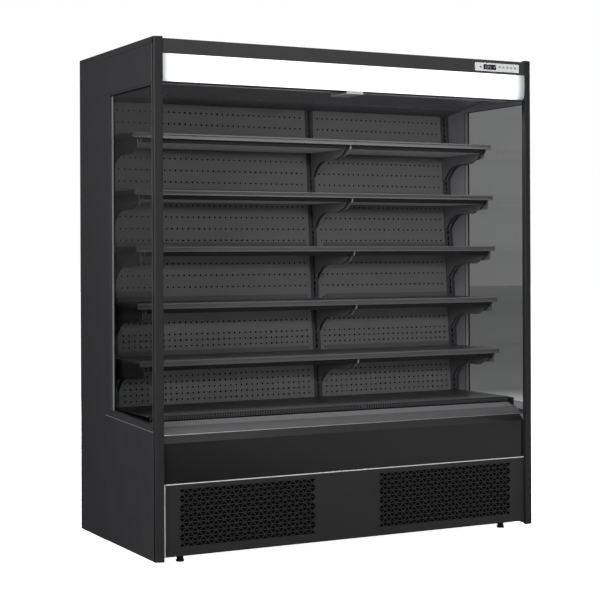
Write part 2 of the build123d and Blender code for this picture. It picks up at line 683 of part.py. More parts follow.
def kick_panel():
    """Kick panel with two fields of punched triangles and folded top and bottom."""
    half = BETWEEN_POSTS / 2
    rear = PANEL_Y + KICK_RETURN
    panel = block((-half, PANEL_Y, KICK_BOTTOM), (half, rear, KICK_TOP))
    panel -= block((-half, PANEL_Y + SHEET, KICK_BOTTOM + SHEET), (half, rear, KICK_TOP - SHEET))
    panel -= block((-half, FRONT + POST_DEPTH, KICK_TOP - SHEET), (half, rear, KICK_TOP))
    end = POST_INNER - GRILLE_MARGIN
    for left, right in ((-end, PIER_LEFT), (PIER_RIGHT, end)):
        field = extrude(Plane.XZ * lattice_triangles(right - left), -3 * SHEET)
        panel -= Pos(left, PANEL_Y - SHEET, GRILLE_FOOT) * field
    return panel


# ---- canopy ----------------------------------------------------------------------------------
def canopy_roof():
    """Insulated roof with the down-stand that carries the light box and the blind."""
    half = BETWEEN_WALLS / 2
    roof = block((-half, DOWNSTAND_Y, ROOF_TOP - ROOF_THICKNESS), (half, REAR_WALL_Y - FIT, ROOF_TOP))
    foot = LIGHT_BOX_BOTTOM + DOWNSTAND_RISE
    roof += block((-half, DOWNSTAND_Y, foot), (half, DOWNSTAND_Y + 2 * SHEET, ROOF_TOP))
    return roof


def control_place(x_from_left, z=0.0):
    """A place on the control plate, from its left edge."""
    return (CONTROL_X - CONTROL_WIDTH / 2 + x_from_left, CONTROL_Z + z)


def fascia():
    """Folded fascia, with the cut-out for the control housing."""
    face = FRONT + FASCIA_FACE
    half = BETWEEN_POSTS / 2
    top = ROOF_TOP + SHEET
    board = block((-half, face, FASCIA_BOTTOM), (half, face + FASCIA_DEPTH, top))
    board -= block(
        (-half, face + SHEET, FASCIA_BOTTOM + SHEET), (half, face + FASCIA_DEPTH, top - SHEET))
    cut_x = CONTROL_WIDTH / 2 - CONTROL_BOX_MARGIN + FIT
    cut_z = CONTROL_HEIGHT / 2 - CONTROL_BOX_MARGIN + FIT
    board -= block(
        (CONTROL_X - cut_x, face - SHEET, CONTROL_Z - cut_z),
        (CONTROL_X + cut_x, face + 2 * SHEET, CONTROL_Z + cut_z))
    return board


def control_panel():
    """Control plate on its housing, with pockets for the keys, and the display's lens."""
    face = FRONT + FASCIA_FACE
    plate_y = face - CONTROL_PLATE
    half_x, half_z = CONTROL_WIDTH / 2, CONTROL_HEIGHT / 2
    plate = block(
        (CONTROL_X - half_x, plate_y, CONTROL_Z - half_z), (CONTROL_X + half_x, face, CONTROL_Z + half_z))
    plate = fillet(plate.edges().filter_by(Axis.Y), CONTROL_ROUND)
    box_x, box_z = half_x - CONTROL_BOX_MARGIN, half_z - CONTROL_BOX_MARGIN
    plate += block(
        (CONTROL_X - box_x, face, CONTROL_Z - box_z),
        (CONTROL_X + box_x, face + CONTROL_BOX_DEPTH, CONTROL_Z + box_z))
    for i in range(KEYS):
        plate -= key_block(i, plate_y - KEY_PROUD, plate_y + KEY_DEPTH, FIT)
    left, middle = control_place(DISPLAY_LEFT)
    low = (left, plate_y, middle - DISPLAY_HEIGHT / 2)
    lens = block(low, (left + DISPLAY_WIDTH, plate_y + DISPLAY_RECESS, middle + DISPLAY_HEIGHT / 2))
    return [plate - lens, lens]


def key_block(index, front, rear, grow):
    x, z = control_place(FIRST_KEY + index * KEY_PITCH, KEY_RISE)
    half_x, half_z = KEY_WIDTH / 2 + grow, KEY_HEIGHT / 2 + grow
    return block((x - half_x, front, z - half_z), (x + half_x, rear, z + half_z))


def control_key(index):
    """A key that stands a little proud and has its travel behind it."""
    plate_y = FRONT + FASCIA_FACE - CONTROL_PLATE
    rear = plate_y + KEY_DEPTH - KEY_TRAVEL - FIT
    key = key_block(index, plate_y - KEY_PROUD, rear, 0.0)
    front = key.faces().sort_by(Axis.Y)[0]
    return chamfer(front.edges(), KEY_PROUD / 2)


def light_box_section(inset):
    """Section of the light box with its rounded lower edge and slightly bulged face."""
    face = FRONT + FASCIA_FACE + inset
    rear = FRONT + FASCIA_FACE + FASCIA_DEPTH
    low, high = LIGHT_BOX_BOTTOM + inset, FASCIA_BOTTOM - FIT - inset
    radius = LIGHT_BOX_ROUND - inset
    turn = (face, low + radius)
    bulge = ThreePointArc(turn, (face - LIGHT_BOX_BULGE, (low + radius + high) / 2), (face, high))
    under = RadiusArc((face + radius, low), turn, radius)
    rest = Polyline((face, high), (rear, high), (rear, low), (face + radius, low))
    return make_face(Wire([*bulge.edges(), *under.edges(), *rest.edges()]))


def light_box():
    """Opal light box, hollow and open at the rear, with closed ends."""
    half = BETWEEN_POSTS / 2
    box = along_x(light_box_section(0.0), -half, half)
    return box - along_x(light_box_section(DIFFUSER), -half + DIFFUSER, half - DIFFUSER)


def ceiling_panel():
    """Sloping ceiling under the air duct."""
    front = FRONT + OUTLET_FRONT + OUTLET_WIDTH + FIT
    rear = wall_y(CEILING_REAR) + UPRIGHT_DEPTH + CEILING_OVERRUN
    section = outline(
        (front, ceiling_z(front) + FIT), (rear, ceiling_z(rear) + FIT),
        (rear, ceiling_z(rear) + SHEET + FIT), (front + SHEET, ceiling_z(front) + SHEET + FIT),
        (front + SHEET, ROOF_TOP - ROOF_THICKNESS - FIT), (front, ROOF_TOP - ROOF_THICKNESS - FIT))
    return along_x(section, -BETWEEN_WALLS / 2, BETWEEN_WALLS / 2)


def air_outlet():
    """Slatted outlet for the curtain of cold air, hung from the ceiling's edge."""
    front = FRONT + OUTLET_FRONT
    rear = front + OUTLET_WIDTH
    low = ceiling_z(rear) + FIT
    half = BETWEEN_WALLS / 2
    grid = block((-half, front, low), (half, rear, low + OUTLET_THICKNESS))
    pitch = 2 * half / OUTLET_BARS
    for i in range(OUTLET_BARS):
        left = -half + i * pitch + OUTLET_WEB / 2
        right = left + pitch - OUTLET_WEB
        grid -= block(
            (left, front + OUTLET_WEB, low), (right, rear - OUTLET_WEB, low + OUTLET_THICKNESS))
    return grid


# ---- night blind -----------------------------------------------------------------------------
def blind_cassette():
    """Housing of the roller, open underneath where the curtain leaves."""
    front, rear = CASSETTE_Y, CASSETTE_Y + CASSETTE_DEPTH
    top = CASSETTE_TOP
    half = INNER - TRAY_END_GAP
    box = block((-half, front, CASSETTE_BOTTOM), (half, rear, top))
    inside = half - FRAME_PLATE
    box -= block(
        (-inside, front + SHEET, CASSETTE_BOTTOM + SHEET), (inside, rear - SHEET, top - SHEET))
    slot = BAR_DEPTH / 2 + SHEET
    box -= block(
        (-inside, BLIND_Y - slot, CASSETTE_BOTTOM), (inside, BLIND_Y + slot, CASSETTE_BOTTOM + SHEET))
    bore = Pos(0, ROLL_Y, ROLL_HEIGHT) * Rot(0, 90, 0) * Cylinder(PIN_RADIUS + RUNNING_FIT, 3 * half)
    return box - bore


def blind_roller():
    """Roller with its end pins in the cassette's ends."""
    length = 2 * (INNER - TRAY_END_GAP - FRAME_PLATE - ROLL_END_GAP)
    pins = 2 * (INNER - TRAY_END_GAP - PIN_END_GAP)
    roll = Cylinder(ROLL_RADIUS - FIT - CURTAIN / 2, length) + Cylinder(PIN_RADIUS, pins)
    return Pos(0, ROLL_Y, ROLL_HEIGHT) * Rot(0, 90, 0) * roll


def blind_half():
    return INNER - CURTAIN_END_GAP


def blind_curtain():
    """Short length of the curtain between roll and bar while the blind is up."""
    return block(
        (-blind_half(), BLIND_Y - CURTAIN / 2, BAR_TOP), (blind_half(), BLIND_Y + CURTAIN / 2, ROLL_HEIGHT))


def blind_bar():
    """Pull bar with a leg in the middle, and the grip that reaches under the light box."""
    half = blind_half()
    bottom = BAR_TOP - BAR_HEIGHT
    bar = block((-half, BLIND_Y - BAR_DEPTH / 2, bottom), (half, BLIND_Y + BAR_DEPTH / 2, BAR_TOP))
    bar = fillet(bar.edges().filter_by(Axis.X).group_by(Axis.Z)[0], BAR_DEPTH / 4)
    wide = GRIP_WIDTH / 2
    low = LIGHT_BOX_BOTTOM - GRIP_DROP
    top = low + GRIP_THICKNESS
    bar += block((-wide, BLIND_Y, top), (wide, BLIND_Y + GRIP_THICKNESS, bottom + GRIP_THICKNESS))
    tip = FRONT + FASCIA_FACE - GRIP_PROUD
    grip = block((-wide, tip, low), (wide, BLIND_Y + GRIP_THICKNESS, top))
    grip += block((-wide, tip, low), (wide, tip + GRIP_THICKNESS, LIGHT_BOX_BOTTOM))
    return [bar, grip]


# ---- base and machinery ----------------------------------------------------------------------
def channel(low, high, mouth):
    """A length of channel: a box hollowed out towards its mouth, (axis, side)."""
    axis, side = mouth
    inner_low = [v + FRAME_GAUGE for v in low]
    inner_high = [v - FRAME_GAUGE for v in high]
    run = max(range(3), key=lambda i: high[i] - low[i])
    inner_low[run], inner_high[run] = low[run], high[run]
    if side > 0:
        inner_high[axis] = high[axis]
    else:
        inner_low[axis] = low[axis]
    return block(low, high) - block(inner_low, inner_high)


def rear_cover():
    """Slotted cover that closes the machine space at the rear."""
    half = INNER - FIT - FRAME_RAIL
    low = FRAME_BOTTOM + FRAME_RAIL_HEIGHT
    cover = block((-half, RAIL_REAR_Y - SHEET, low), (half, RAIL_REAR_Y, FRAME_TOP))
    middle = (low + FRAME_TOP) / 2
    slot = Box(COVER_SLOT_WIDTH, 3 * SHEET, COVER_SLOT_HEIGHT)
    for field in (COIL_X, COMPRESSOR_X):
        for i in range(COVER_SLOTS):
            x = field + (i - (COVER_SLOTS - 1) / 2) * COVER_SLOT_PITCH
            cover -= Pos(x, RAIL_REAR_Y, middle) * slot
    return cover


def base_frame():
    """Welded base frame: channels all round, corner posts, the base plate and the rear cover."""
    half = INNER - FIT
    top = FRAME_BOTTOM + FRAME_RAIL_HEIGHT
    front, rear, rail = RAIL_FRONT_Y, RAIL_REAR_Y, FRAME_RAIL
    frame = channel((-half, front, FRAME_BOTTOM), (half, front + rail, top), (1, 1))
    frame += channel((-half, rear - rail, FRAME_BOTTOM), (half, rear, top), (1, -1))
    frame += block((-half, front, top), (half, rear, top + BASE_PLATE))
    frame += rear_cover()
    for x, side in ((-half, 1), (half - rail, -1)):
        frame += channel((x, front + rail, FRAME_BOTTOM), (x + rail, rear - rail, top), (0, side))
        for y in (front, rear - rail):
            frame += channel((x, y, top), (x + rail, y + rail, FRAME_TOP), (0, side))
    frame += channel((-rail / 2, front + rail, FRAME_BOTTOM), (rail / 2, rear - rail, top), (0, 1))
    for x in (-FOOT_X, FOOT_X):
        for y in foot_rows():
            frame -= Pos(x, y, top) * Cylinder(STEM_RADIUS + RUNNING_FIT, 3 * FRAME_RAIL_HEIGHT)
    return frame


def foot_rows():
    """Middles of the front and of the rear channel."""
    return (RAIL_FRONT_Y + FRAME_RAIL / 2, RAIL_REAR_Y - FRAME_RAIL / 2)


def levelling_foot(x, y):
    """Levelling foot: a disc, a sleeve, a hexagon nut and a stem in the base frame."""
    disc = extrude(RegularPolygon(FOOT_RADIUS, ROUND_SIDES), FOOT_DISC)
    disc = chamfer(disc.edges().group_by(Axis.Z)[-1], FOOT_DISC / 4)
    stem = extrude(RegularPolygon(STEM_RADIUS, ROUND_SIDES), FRAME_BOTTOM + STEM_LENGTH)
    nut = Pos(0, 0, FRAME_BOTTOM - FIT - FOOT_NUT) * extrude(RegularPolygon(FOOT_NUT, 6), FOOT_NUT)
    sleeve = extrude(RegularPolygon(FOOT_COLLAR, ROUND_SIDES), FRAME_BOTTOM - FIT - FOOT_NUT)
    return Pos(x, y, 0) * (disc + sleeve + stem + nut)


def compressor():
    """Hermetic compressor: a domed can on its mounting plate and rubber feet."""
    radius, rubber = COMPRESSOR_RADIUS, COMPRESSOR_RUBBER
    can = extrude(RegularPolygon(radius, ROUND_SIDES), COMPRESSOR_HEIGHT)
    ends = can.edges().group_by(Axis.Z)
    can = chamfer(ends[0] + ends[-1], radius / 3)
    can = Pos(0, 0, rubber) * can
    plate = Box(COMPRESSOR_MOUNT_WIDTH, COMPRESSOR_MOUNT_DEPTH, COMPRESSOR_PLATE)
    can += Pos(0, 0, rubber + COMPRESSOR_PLATE / 2) * plate
    for x in (rubber - COMPRESSOR_MOUNT_WIDTH / 2, COMPRESSOR_MOUNT_WIDTH / 2 - rubber):
        for y in (rubber - COMPRESSOR_MOUNT_DEPTH / 2, COMPRESSOR_MOUNT_DEPTH / 2 - rubber):
            can += Pos(x, y, rubber / 2) * Box(rubber, rubber, rubber)
    terminal = Pos(0, -radius, COMPRESSOR_HEIGHT / 2) * Box(TERMINAL_WIDTH, TERMINAL_DEPTH, TERMINAL_HEIGHT)
    return Pos(COMPRESSOR_X, FRONT + COMPRESSOR_FROM_FRONT, BASE_FLOOR + FIT) * (can + terminal)


def finned_coil(width, depth, height, fins):
    """A coil block: packs of fins between grooves, on the tubes' core."""
    coil = block((-width / 2, 0, 0), (width / 2, depth, height))
    pitch = (width - 2 * FRAME_PLATE) / fins
    groove = COIL_GROOVE * pitch
    core = depth / 4
    for i in range(fins):
        x = -width / 2 + FRAME_PLATE + (i + 0.5) * pitch
        coil -= block((x - groove / 2, 0, SHEET), (x + groove / 2, depth / 2 - core / 2, height - SHEET))
        coil -= block((x - groove / 2, depth / 2 + core / 2, SHEET), (x + groove / 2, depth, height - SHEET))
    return coil


def round_hole(radius):
    """Opening round a fan, along Y, that leaves the tips of its blades free."""
    length = 3 * SHROUD
    corner = (radius + FAN_TIP_GAP) / cos(radians(180 / ROUND_SIDES))
    return Pos(0, length / 2, 0) * Rot(90, 0, 0) * extrude(RegularPolygon(corner, ROUND_SIDES), length)


def motor(x, y, z, radius):
    """Fan motor on two arms behind an opening whose front face is at y."""
    arm_y = y + SHROUD
    can = extrude(RegularPolygon(MOTOR_RADIUS, ROUND_SIDES), MOTOR_DEPTH)
    body = Pos(x, arm_y + MOTOR_DEPTH, z) * Rot(90, 0, 0) * can
    reach = radius + SPIDER
    body += block((x - reach, arm_y, z - SPIDER), (x + reach, arm_y + SPIDER / 2, z + SPIDER))
    for side in (-1, 1):
        leg = x + side * (radius + SPIDER / 2)
        body += block((leg - SPIDER / 2, y, z - SPIDER), (leg + SPIDER / 2, arm_y + SPIDER / 2, z + SPIDER))
    start = y + FAN_STAND - FAN_DEPTH / 2
    shaft = Pos(x, (start + arm_y) / 2, z) * Rot(90, 0, 0) * Cylinder(SHAFT_RADIUS, arm_y - start)
    return body + shaft


def fan(radius):
    """Axial fan with its axis along Y, its middle at the origin and a bore for the shaft."""
    hub = extrude(RegularPolygon(FAN_HUB, ROUND_SIDES), FAN_HUB_LENGTH)
    wheel = Pos(0, FAN_HUB_LENGTH / 2, 0) * Rot(90, 0, 0) * hub
    inner = FAN_HUB * BLADE_ROOT
    chord = radius * BLADE_CHORD
    tip = sqrt(radius ** 2 - (chord / 2) ** 2)
    for i in range(FAN_BLADES):
        blade = Pos((inner + tip) / 2, 0, 0) * Rot(BLADE_ANGLE, 0, 0) * Box(tip - inner, SHEET, chord)
        wheel += Rot(0, 360 / FAN_BLADES * i, 0) * blade
    return wheel - Rot(90, 0, 0) * Cylinder(SHAFT_RADIUS + RUNNING_FIT, 3 * FAN_DEPTH)


def condenser_coil():
    """Condenser coil and the shroud with the fan's motor behind it."""
    floor = BASE_FLOOR + FIT
    y = FRONT + COIL_FROM_FRONT
    coil = Pos(COIL_X, y, floor) * finned_coil(COIL_WIDTH, COIL_DEPTH, COIL_HEIGHT, COIL_FINS)
    rear = y + COIL_DEPTH
    z = floor + COIL_HEIGHT / 2
    left, right = COIL_X - COIL_WIDTH / 2, COIL_X + COIL_WIDTH / 2
    top = floor + COIL_HEIGHT
    shroud = block((left, rear, floor), (right, rear + SHROUD + FRAME_PLATE, top))
    shroud -= block(
        (left + SHEET, rear, floor + SHEET), (right - SHEET, rear + SHROUD, top - SHEET))
    shroud -= Pos(COIL_X, rear + SHROUD, z) * round_hole(FAN_RADIUS)
    shroud += motor(COIL_X, rear + SHROUD, z, FAN_RADIUS + FAN_TIP_GAP)
    return [coil, shroud]


def condenser_fan_place():
    floor = BASE_FLOOR + FIT
    return (COIL_X, FRONT + COIL_FROM_FRONT + COIL_DEPTH + SHROUD + FAN_STAND, floor + COIL_HEIGHT / 2)


def cold_fan_z():
    """Middle of the evaporator fan, half way up the fan plate."""
    return (TUB_FLOOR + DECK_HEIGHT) / 2


def cold_fan_place():
    return (COLD_FAN_X, FRONT + FAN_PLATE + FAN_STAND, cold_fan_z())


def evaporator_coil():
    y = FRONT + EVAPORATOR_FROM_FRONT
    coil = finned_coil(EVAPORATOR_WIDTH, EVAPORATOR_DEPTH, EVAPORATOR_HEIGHT, EVAPORATOR_FINS)
    return Pos(0, y, TUB_FLOOR + FIT) * coil


# ---- the set of pieces -----------------------------------------------------------------------
def pieces():
    """Every sub-part by its name."""
    found = {}
    ends = {
        "end_post": end_post, "end_frame": end_frame, "end_upper_panel": end_upper_panel,
        "end_lower_panel": end_lower_panel, "window_frame": window_frame, "side_glass": side_glass}
    for name, make in ends.items():
        right = make()
        found[f"{name}_right"] = right
        found[f"{name}_left"] = mirrored(right)
    found["rear_wall"] = rear_wall()
    found["duct_panel_left"] = duct_panel(UPRIGHTS[0], UPRIGHTS[1])
    found["duct_panel_right"] = duct_panel(UPRIGHTS[1], UPRIGHTS[2])
    found["shelf_uprights"] = [upright(x) for x in UPRIGHTS]
    brackets = []
    for level in range(1, SHELF_LEVELS + 1):
        height = shelf_height(level)
        for bay in ("left", "right"):
            found[f"shelf_{bay}_{level}"] = [tray(bay, height), ticket_rail(bay, height)]
            brackets += [bracket(x, height, turn) for x, turn in zip(bracket_places(bay), (1, -1))]
    found["shelf_brackets"] = brackets
    found["canopy_roof"] = canopy_roof()
    found["fascia"] = fascia()
    found["control_panel"] = control_panel()
    for i in range(KEYS):
        found[f"control_key_{i + 1}"] = control_key(i)
    found["light_box"] = light_box()
    found["ceiling_panel"] = ceiling_panel()
    found["air_outlet"] = air_outlet()
    found["blind_cassette"] = blind_cassette()
    found["blind_roller"] = blind_roller()
    found["blind_curtain"] = blind_curtain()
    found["blind_bar"] = blind_bar()
    found["base_tub"] = base_tub()
    found["deck_frame"] = deck_frame()
    found["deck_pan_left"] = deck_pan("left")
    found["deck_pan_right"] = deck_pan("right")
    found["return_grille"] = return_grille()
    found["front_panel"] = front_panel()
    found["bumper"] = bumper()
    found["kick_panel"] = kick_panel()
    found["base_frame"] = base_frame()
    for side, x in (("left", -FOOT_X), ("right", FOOT_X)):
        for row, y in zip(("front", "rear"), foot_rows()):
            found[f"foot_{row}_{side}"] = levelling_foot(x, y)
    found["compressor"] = compressor()
    found["condenser_coil"] = condenser_coil()
    found["condenser_fan"] = Pos(*condenser_fan_place()) * fan(FAN_RADIUS)
    found["evaporator_coil"] = evaporator_coil()
    found["evaporator_fan"] = Pos(*cold_fan_place()) * fan(COLD_FAN_RADIUS)
    return found


def write(name, piece):
    """One STEP file per sub-part, holding one solid or a group of them."""
    solids = piece if isinstance(piece, list) else [piece]
    loose = [solid for part in solids for solid in part.solids()]
    shape = loose[0] if len(loose) == 1 else Compound(children=loose)
    export_step(shape, os.path.join("parts", f"{name}.step"))


def main():
    os.makedirs("parts", exist_ok=True)
    for name, piece in pieces().items():
        write(name, piece)


main()
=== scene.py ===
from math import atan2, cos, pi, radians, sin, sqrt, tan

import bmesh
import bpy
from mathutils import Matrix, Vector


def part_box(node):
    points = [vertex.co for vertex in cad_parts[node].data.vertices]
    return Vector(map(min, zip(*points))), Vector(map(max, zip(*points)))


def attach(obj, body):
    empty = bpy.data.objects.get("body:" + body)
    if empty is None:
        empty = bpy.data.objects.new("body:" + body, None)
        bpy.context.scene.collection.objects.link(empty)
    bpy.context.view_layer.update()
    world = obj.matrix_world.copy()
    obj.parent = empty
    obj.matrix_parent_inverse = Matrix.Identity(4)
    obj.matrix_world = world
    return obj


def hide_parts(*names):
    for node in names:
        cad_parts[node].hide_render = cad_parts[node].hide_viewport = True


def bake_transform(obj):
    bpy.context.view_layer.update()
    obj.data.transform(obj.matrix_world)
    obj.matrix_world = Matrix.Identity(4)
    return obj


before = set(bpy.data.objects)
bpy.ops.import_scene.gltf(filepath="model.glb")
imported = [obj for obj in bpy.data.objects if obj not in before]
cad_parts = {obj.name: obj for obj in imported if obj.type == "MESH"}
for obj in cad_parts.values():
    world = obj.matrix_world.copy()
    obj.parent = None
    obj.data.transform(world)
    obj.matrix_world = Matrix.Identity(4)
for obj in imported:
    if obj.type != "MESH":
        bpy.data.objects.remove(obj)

bl_info = {
    "name": "Open Multideck Display Fridge",
    "version": (1, 0, 0),
    "blender": (4, 5, 0),
    "location": "View3D > Sidebar > Fridge",
    "description": "Dresses an open display fridge: finishes, fine sheets, glazing and stage",
    "category": "Object",
}

CABINET = "cabinet"
SIGNS = {"left": -1, "right": 1}        # which way each end wall looks along X
LEVELS = range(1, 6)            # shelves of a bay, counted from below; keys from the left
SHEET = 0.002                   # thickness of folded sheet metal
SPLIT_GAP = 0.0003              # between neighbouring sheets of the wall
WALL_LEAN = radians(3.8)        # the perforated wall leans back by this angle
WALL_FRONT = 0.118              # face of the perforated wall at the height of the deck
DECK = 0.552                    # height of the deck
CEILING_AT_WALL = 1.813         # height of the ceiling at the perforated wall
UPSTAND = 0.020                 # rear edge of a shelf above its top
INNER_FACE = 0.845              # outer edge of the outer uprights
SPLIT_PLATE = 0.0125            # right bay's first edge to the bracket plate that carries it
BRACKET_GAP = 0.0165            # between the two plates of a bracket


def linear(colour):
    """sRGB hex to the linear colour that a shader takes."""
    parts = [int(colour[i:i + 2], 16) / 255 for i in (1, 3, 5)]
    return (*[c / 12.92 if c <= 0.04045 else ((c + 0.055) / 1.055) ** 2.4 for c in parts], 1.0)


# ---- settings that a user would change ------------------------------------------------------
class FridgeSizes(bpy.types.PropertyGroup):
    """Sizes of the fine detail, in metres"""
    hole_pitch: bpy.props.FloatProperty(
        name="Hole Pitch", description="Distance between holes in the rear panels",
        default=0.025, min=0.005, unit="LENGTH")
    hole_diameter: bpy.props.FloatProperty(
        name="Hole Diameter", description="Diameter of the holes in the rear panels",
        default=0.0094, min=0.002, unit="LENGTH")
    hole_rim: bpy.props.FloatProperty(
        name="Hole Rim", description="Width of the rolled rim round each hole",
        default=0.0022, min=0.0, unit="LENGTH")
    slot_pitch: bpy.props.FloatProperty(
        name="Slot Pitch", description="Distance between the slots of the shelf uprights",
        default=0.025, min=0.01, unit="LENGTH")
    triangle_base: bpy.props.FloatProperty(
        name="Triangle Base", description="Base of one triangle of the kick panel's lattice",
        default=0.0342, min=0.01, unit="LENGTH")
    triangle_web: bpy.props.FloatProperty(
        name="Triangle Web", description="Metal left between two triangles of the lattice",
        default=0.0030, min=0.001, unit="LENGTH")
    screw_diameter: bpy.props.FloatProperty(
        name="Screw Head", description="Diameter of a screw head",
        default=0.009, min=0.003, unit="LENGTH")


COLOUR = {"subtype": "COLOR", "size": 4, "min": 0.0, "max": 1.0}


class FridgeColours(bpy.types.PropertyGroup):
    """Colours of the finishes and the light box's brightness"""
    panel: bpy.props.FloatVectorProperty(
        name="Panels", description="Powder coat of the end walls",
        default=linear("#39393B"), **COLOUR)
    front: bpy.props.FloatVectorProperty(
        name="Front Panel", description="Gloss enamel of the front panel",
        default=linear("#121213"), **COLOUR)
    wall: bpy.props.FloatVectorProperty(
        name="Rear Panels", description="Powder coat of the perforated panels",
        default=linear("#4C4C4D"), **COLOUR)
    shelf: bpy.props.FloatVectorProperty(
        name="Shelves", description="Powder coat of the shelves",
        default=linear("#3E3E3F"), **COLOUR)
    bumper: bpy.props.FloatVectorProperty(
        name="Bumper", description="Vinyl of the bumper", default=linear("#303031"), **COLOUR)
    light_level: bpy.props.FloatProperty(
        name="Light Box", description="Brightness of the light box", default=1.25, min=0.0)


# ---- small tools -----------------------------------------------------------------------------
def feed(node, inputs):
    """Sets a node's inputs, each to a number, to a colour or by a link from a socket."""
    for name, value in inputs.items():
        if isinstance(value, bpy.types.NodeSocket):
            node.id_data.links.new(value, node.inputs[name])
        else:
            node.inputs[name].default_value = value


def add_node(tree, kind, inputs=None, **settings):
    """Adds one node with its settings and what feeds its inputs."""
    made = tree.nodes.new("ShaderNode" + kind)
    for name, value in settings.items():
        setattr(made, name, value)
    feed(made, inputs or {})
    return made


def new_material(name):
    """An empty node material, its surface shader and its object coordinates."""
    material = bpy.data.materials.new(name)
    material.use_nodes = True
    tree = material.node_tree
    tree.nodes.clear()
    shader = add_node(tree, "BsdfPrincipled")
    add_node(tree, "OutputMaterial", {"Surface": shader.outputs[0]})
    return material, tree, shader, add_node(tree, "TexCoord").outputs["Object"]


def shade(colour, share):
    """A colour made darker or lighter by a share."""
    return (*[min(1.0, c * share) for c in colour[:3]], 1.0)


def mesh_piece(name, parts, material, body, smooth=False):
    """A mesh from lists of points and faces, in metres, which rides on a body."""
    points, faces = joined(parts)
    mesh = bpy.data.meshes.new(name)
    mesh.from_pydata([tuple(p) for p in points], [], faces)
    work = bmesh.new()
    work.from_mesh(mesh)
    bmesh.ops.remove_doubles(work, verts=work.verts, dist=1e-6)
    bmesh.ops.recalc_face_normals(work, faces=work.faces)
    work.to_mesh(mesh)
    work.free()
    for face in mesh.polygons:
        face.use_smooth = smooth
    piece = bpy.data.objects.new(name, mesh)
    bpy.context.scene.collection.objects.link(piece)
    mesh.materials.append(finish(material))
    if body:
        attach(piece, body)
    return piece


def box_points(low, high):
    """Corners and faces of a box."""
    x0, y0, z0 = low
    x1, y1, z1 = high
    points = [(x0, y0, z0), (x1, y0, z0), (x1, y1, z0), (x0, y1, z0),
              (x0, y0, z1), (x1, y0, z1), (x1, y1, z1), (x0, y1, z1)]
    faces = [(0, 3, 2, 1), (4, 5, 6, 7), (0, 1, 5, 4), (1, 2, 6, 5), (2, 3, 7, 6), (3, 0, 4, 7)]
    return points, faces


def joined(parts):
    """Points and faces of several meshes as one."""
    points, faces = [], []
    for some_points, some_faces in parts:
        start = len(points)
        points += some_points
        faces += [tuple(i + start for i in face) for face in some_faces]
    return points, faces


def prism_x(section, start, end):
    """A Y-Z section drawn out along X."""
    n = len(section)
    points = [(start, y, z) for y, z in section] + [(end, y, z) for y, z in section]
    faces = [(i, (i + 1) % n, (i + 1) % n + n, i + n) for i in range(n)]
    return points, faces + [tuple(range(n)), tuple(range(n, 2 * n))]


def disc_points(centre, radius, depth, axis, sides=20, dish=0.0):
    """A domed disc that looks along an axis; its middle may be dished."""
    along = Vector(axis).normalized()
    across = along.orthogonal().normalized()
    other = along.cross(across)
    profile = (
        (radius, 0.0), (radius, depth * 0.6), (radius * 0.8, depth), (radius * 0.4, depth - dish))
    points, faces = [], []
    for reach, height in profile:
        for i in range(sides):
            turn = 2 * pi * i / sides
            round_axis = across * reach * cos(turn) + other * reach * sin(turn)
            points.append(Vector(centre) + round_axis + along * height)
    for ring in range(len(profile) - 1):
        a, b = ring * sides, (ring + 1) * sides
        for i in range(sides):
            j = (i + 1) % sides
            faces.append((a + i, a + j, b + j, b + i))
    faces += [tuple(range(sides)), tuple(range(len(points) - sides, len(points)))]
    return points, faces


# ---- materials, each named for what the real one is ------------------------------------------
def surface(tree, shader, colour, shades, tone, grain, rough, relief=None, fixed=None):
    """What most finishes share: patterns for the tone, the sheen and, if any, the relief."""
    tint = add_node(tree, "Mix", {
        "Factor": tone, "A": shade(colour, shades[0]), "B": shade(colour, shades[1])},
        data_type="RGBA")
    sheen = dict(zip(("To Min", "To Max", "From Min", "From Max"), rough))
    rough = add_node(tree, "MapRange", {"Value": grain, **sheen})
    inputs = {"Base Color": tint.outputs["Result"], "Roughness": rough.outputs[0], **(fixed or {})}
    if relief:
        bump = add_node(tree, "Bump", dict(zip(("Height", "Strength", "Distance"), relief)))
        inputs["Normal"] = bump.outputs[0]
    feed(shader, inputs)


def powder_coated_steel(tree, shader, place, colour, roughness=0.42, gloss=0.32):
    """Powder sprayed on sheet steel and baked: an even satin skin that breaks up highlights."""
    # Orange peel is about 1 mm across, and too fine to show, so it is drawn 2 mm across.
    peel = add_node(tree, "TexNoise", {"Vector": place, "Scale": 500.0, "Detail": 2.0})
    cloud = add_node(tree, "TexNoise", {"Vector": place, "Scale": 9.0, "Detail": 3.0})
    surface(tree, shader, colour, (0.94, 1.06), cloud.outputs["Fac"], cloud.outputs["Fac"],
            (roughness - 0.04, roughness + 0.05, 0.3, 0.7), (peel.outputs["Fac"], 0.06, 0.0004),
            {"IOR": 1.5, "Specular IOR Level": gloss})


def gloss_enamel(tree, shader, place, colour):
    """Stoved enamel on a pressed panel: deep and shiny, with the sheet's long soft waves."""
    long_way = add_node(tree, "Mapping", {"Vector": place, "Scale": (2.2, 1.0, 6.0)})
    wave = add_node(tree, "TexNoise", {"Vector": long_way.outputs[0], "Scale": 1.6, "Detail": 1.0})
    speck = add_node(tree, "TexNoise", {"Vector": place, "Scale": 420.0, "Detail": 1.0})
    surface(tree, shader, colour, (0.9, 1.1), wave.outputs["Fac"], speck.outputs["Fac"],
            (0.14, 0.22), (wave.outputs["Fac"], 0.05, 0.002), {"IOR": 1.5})


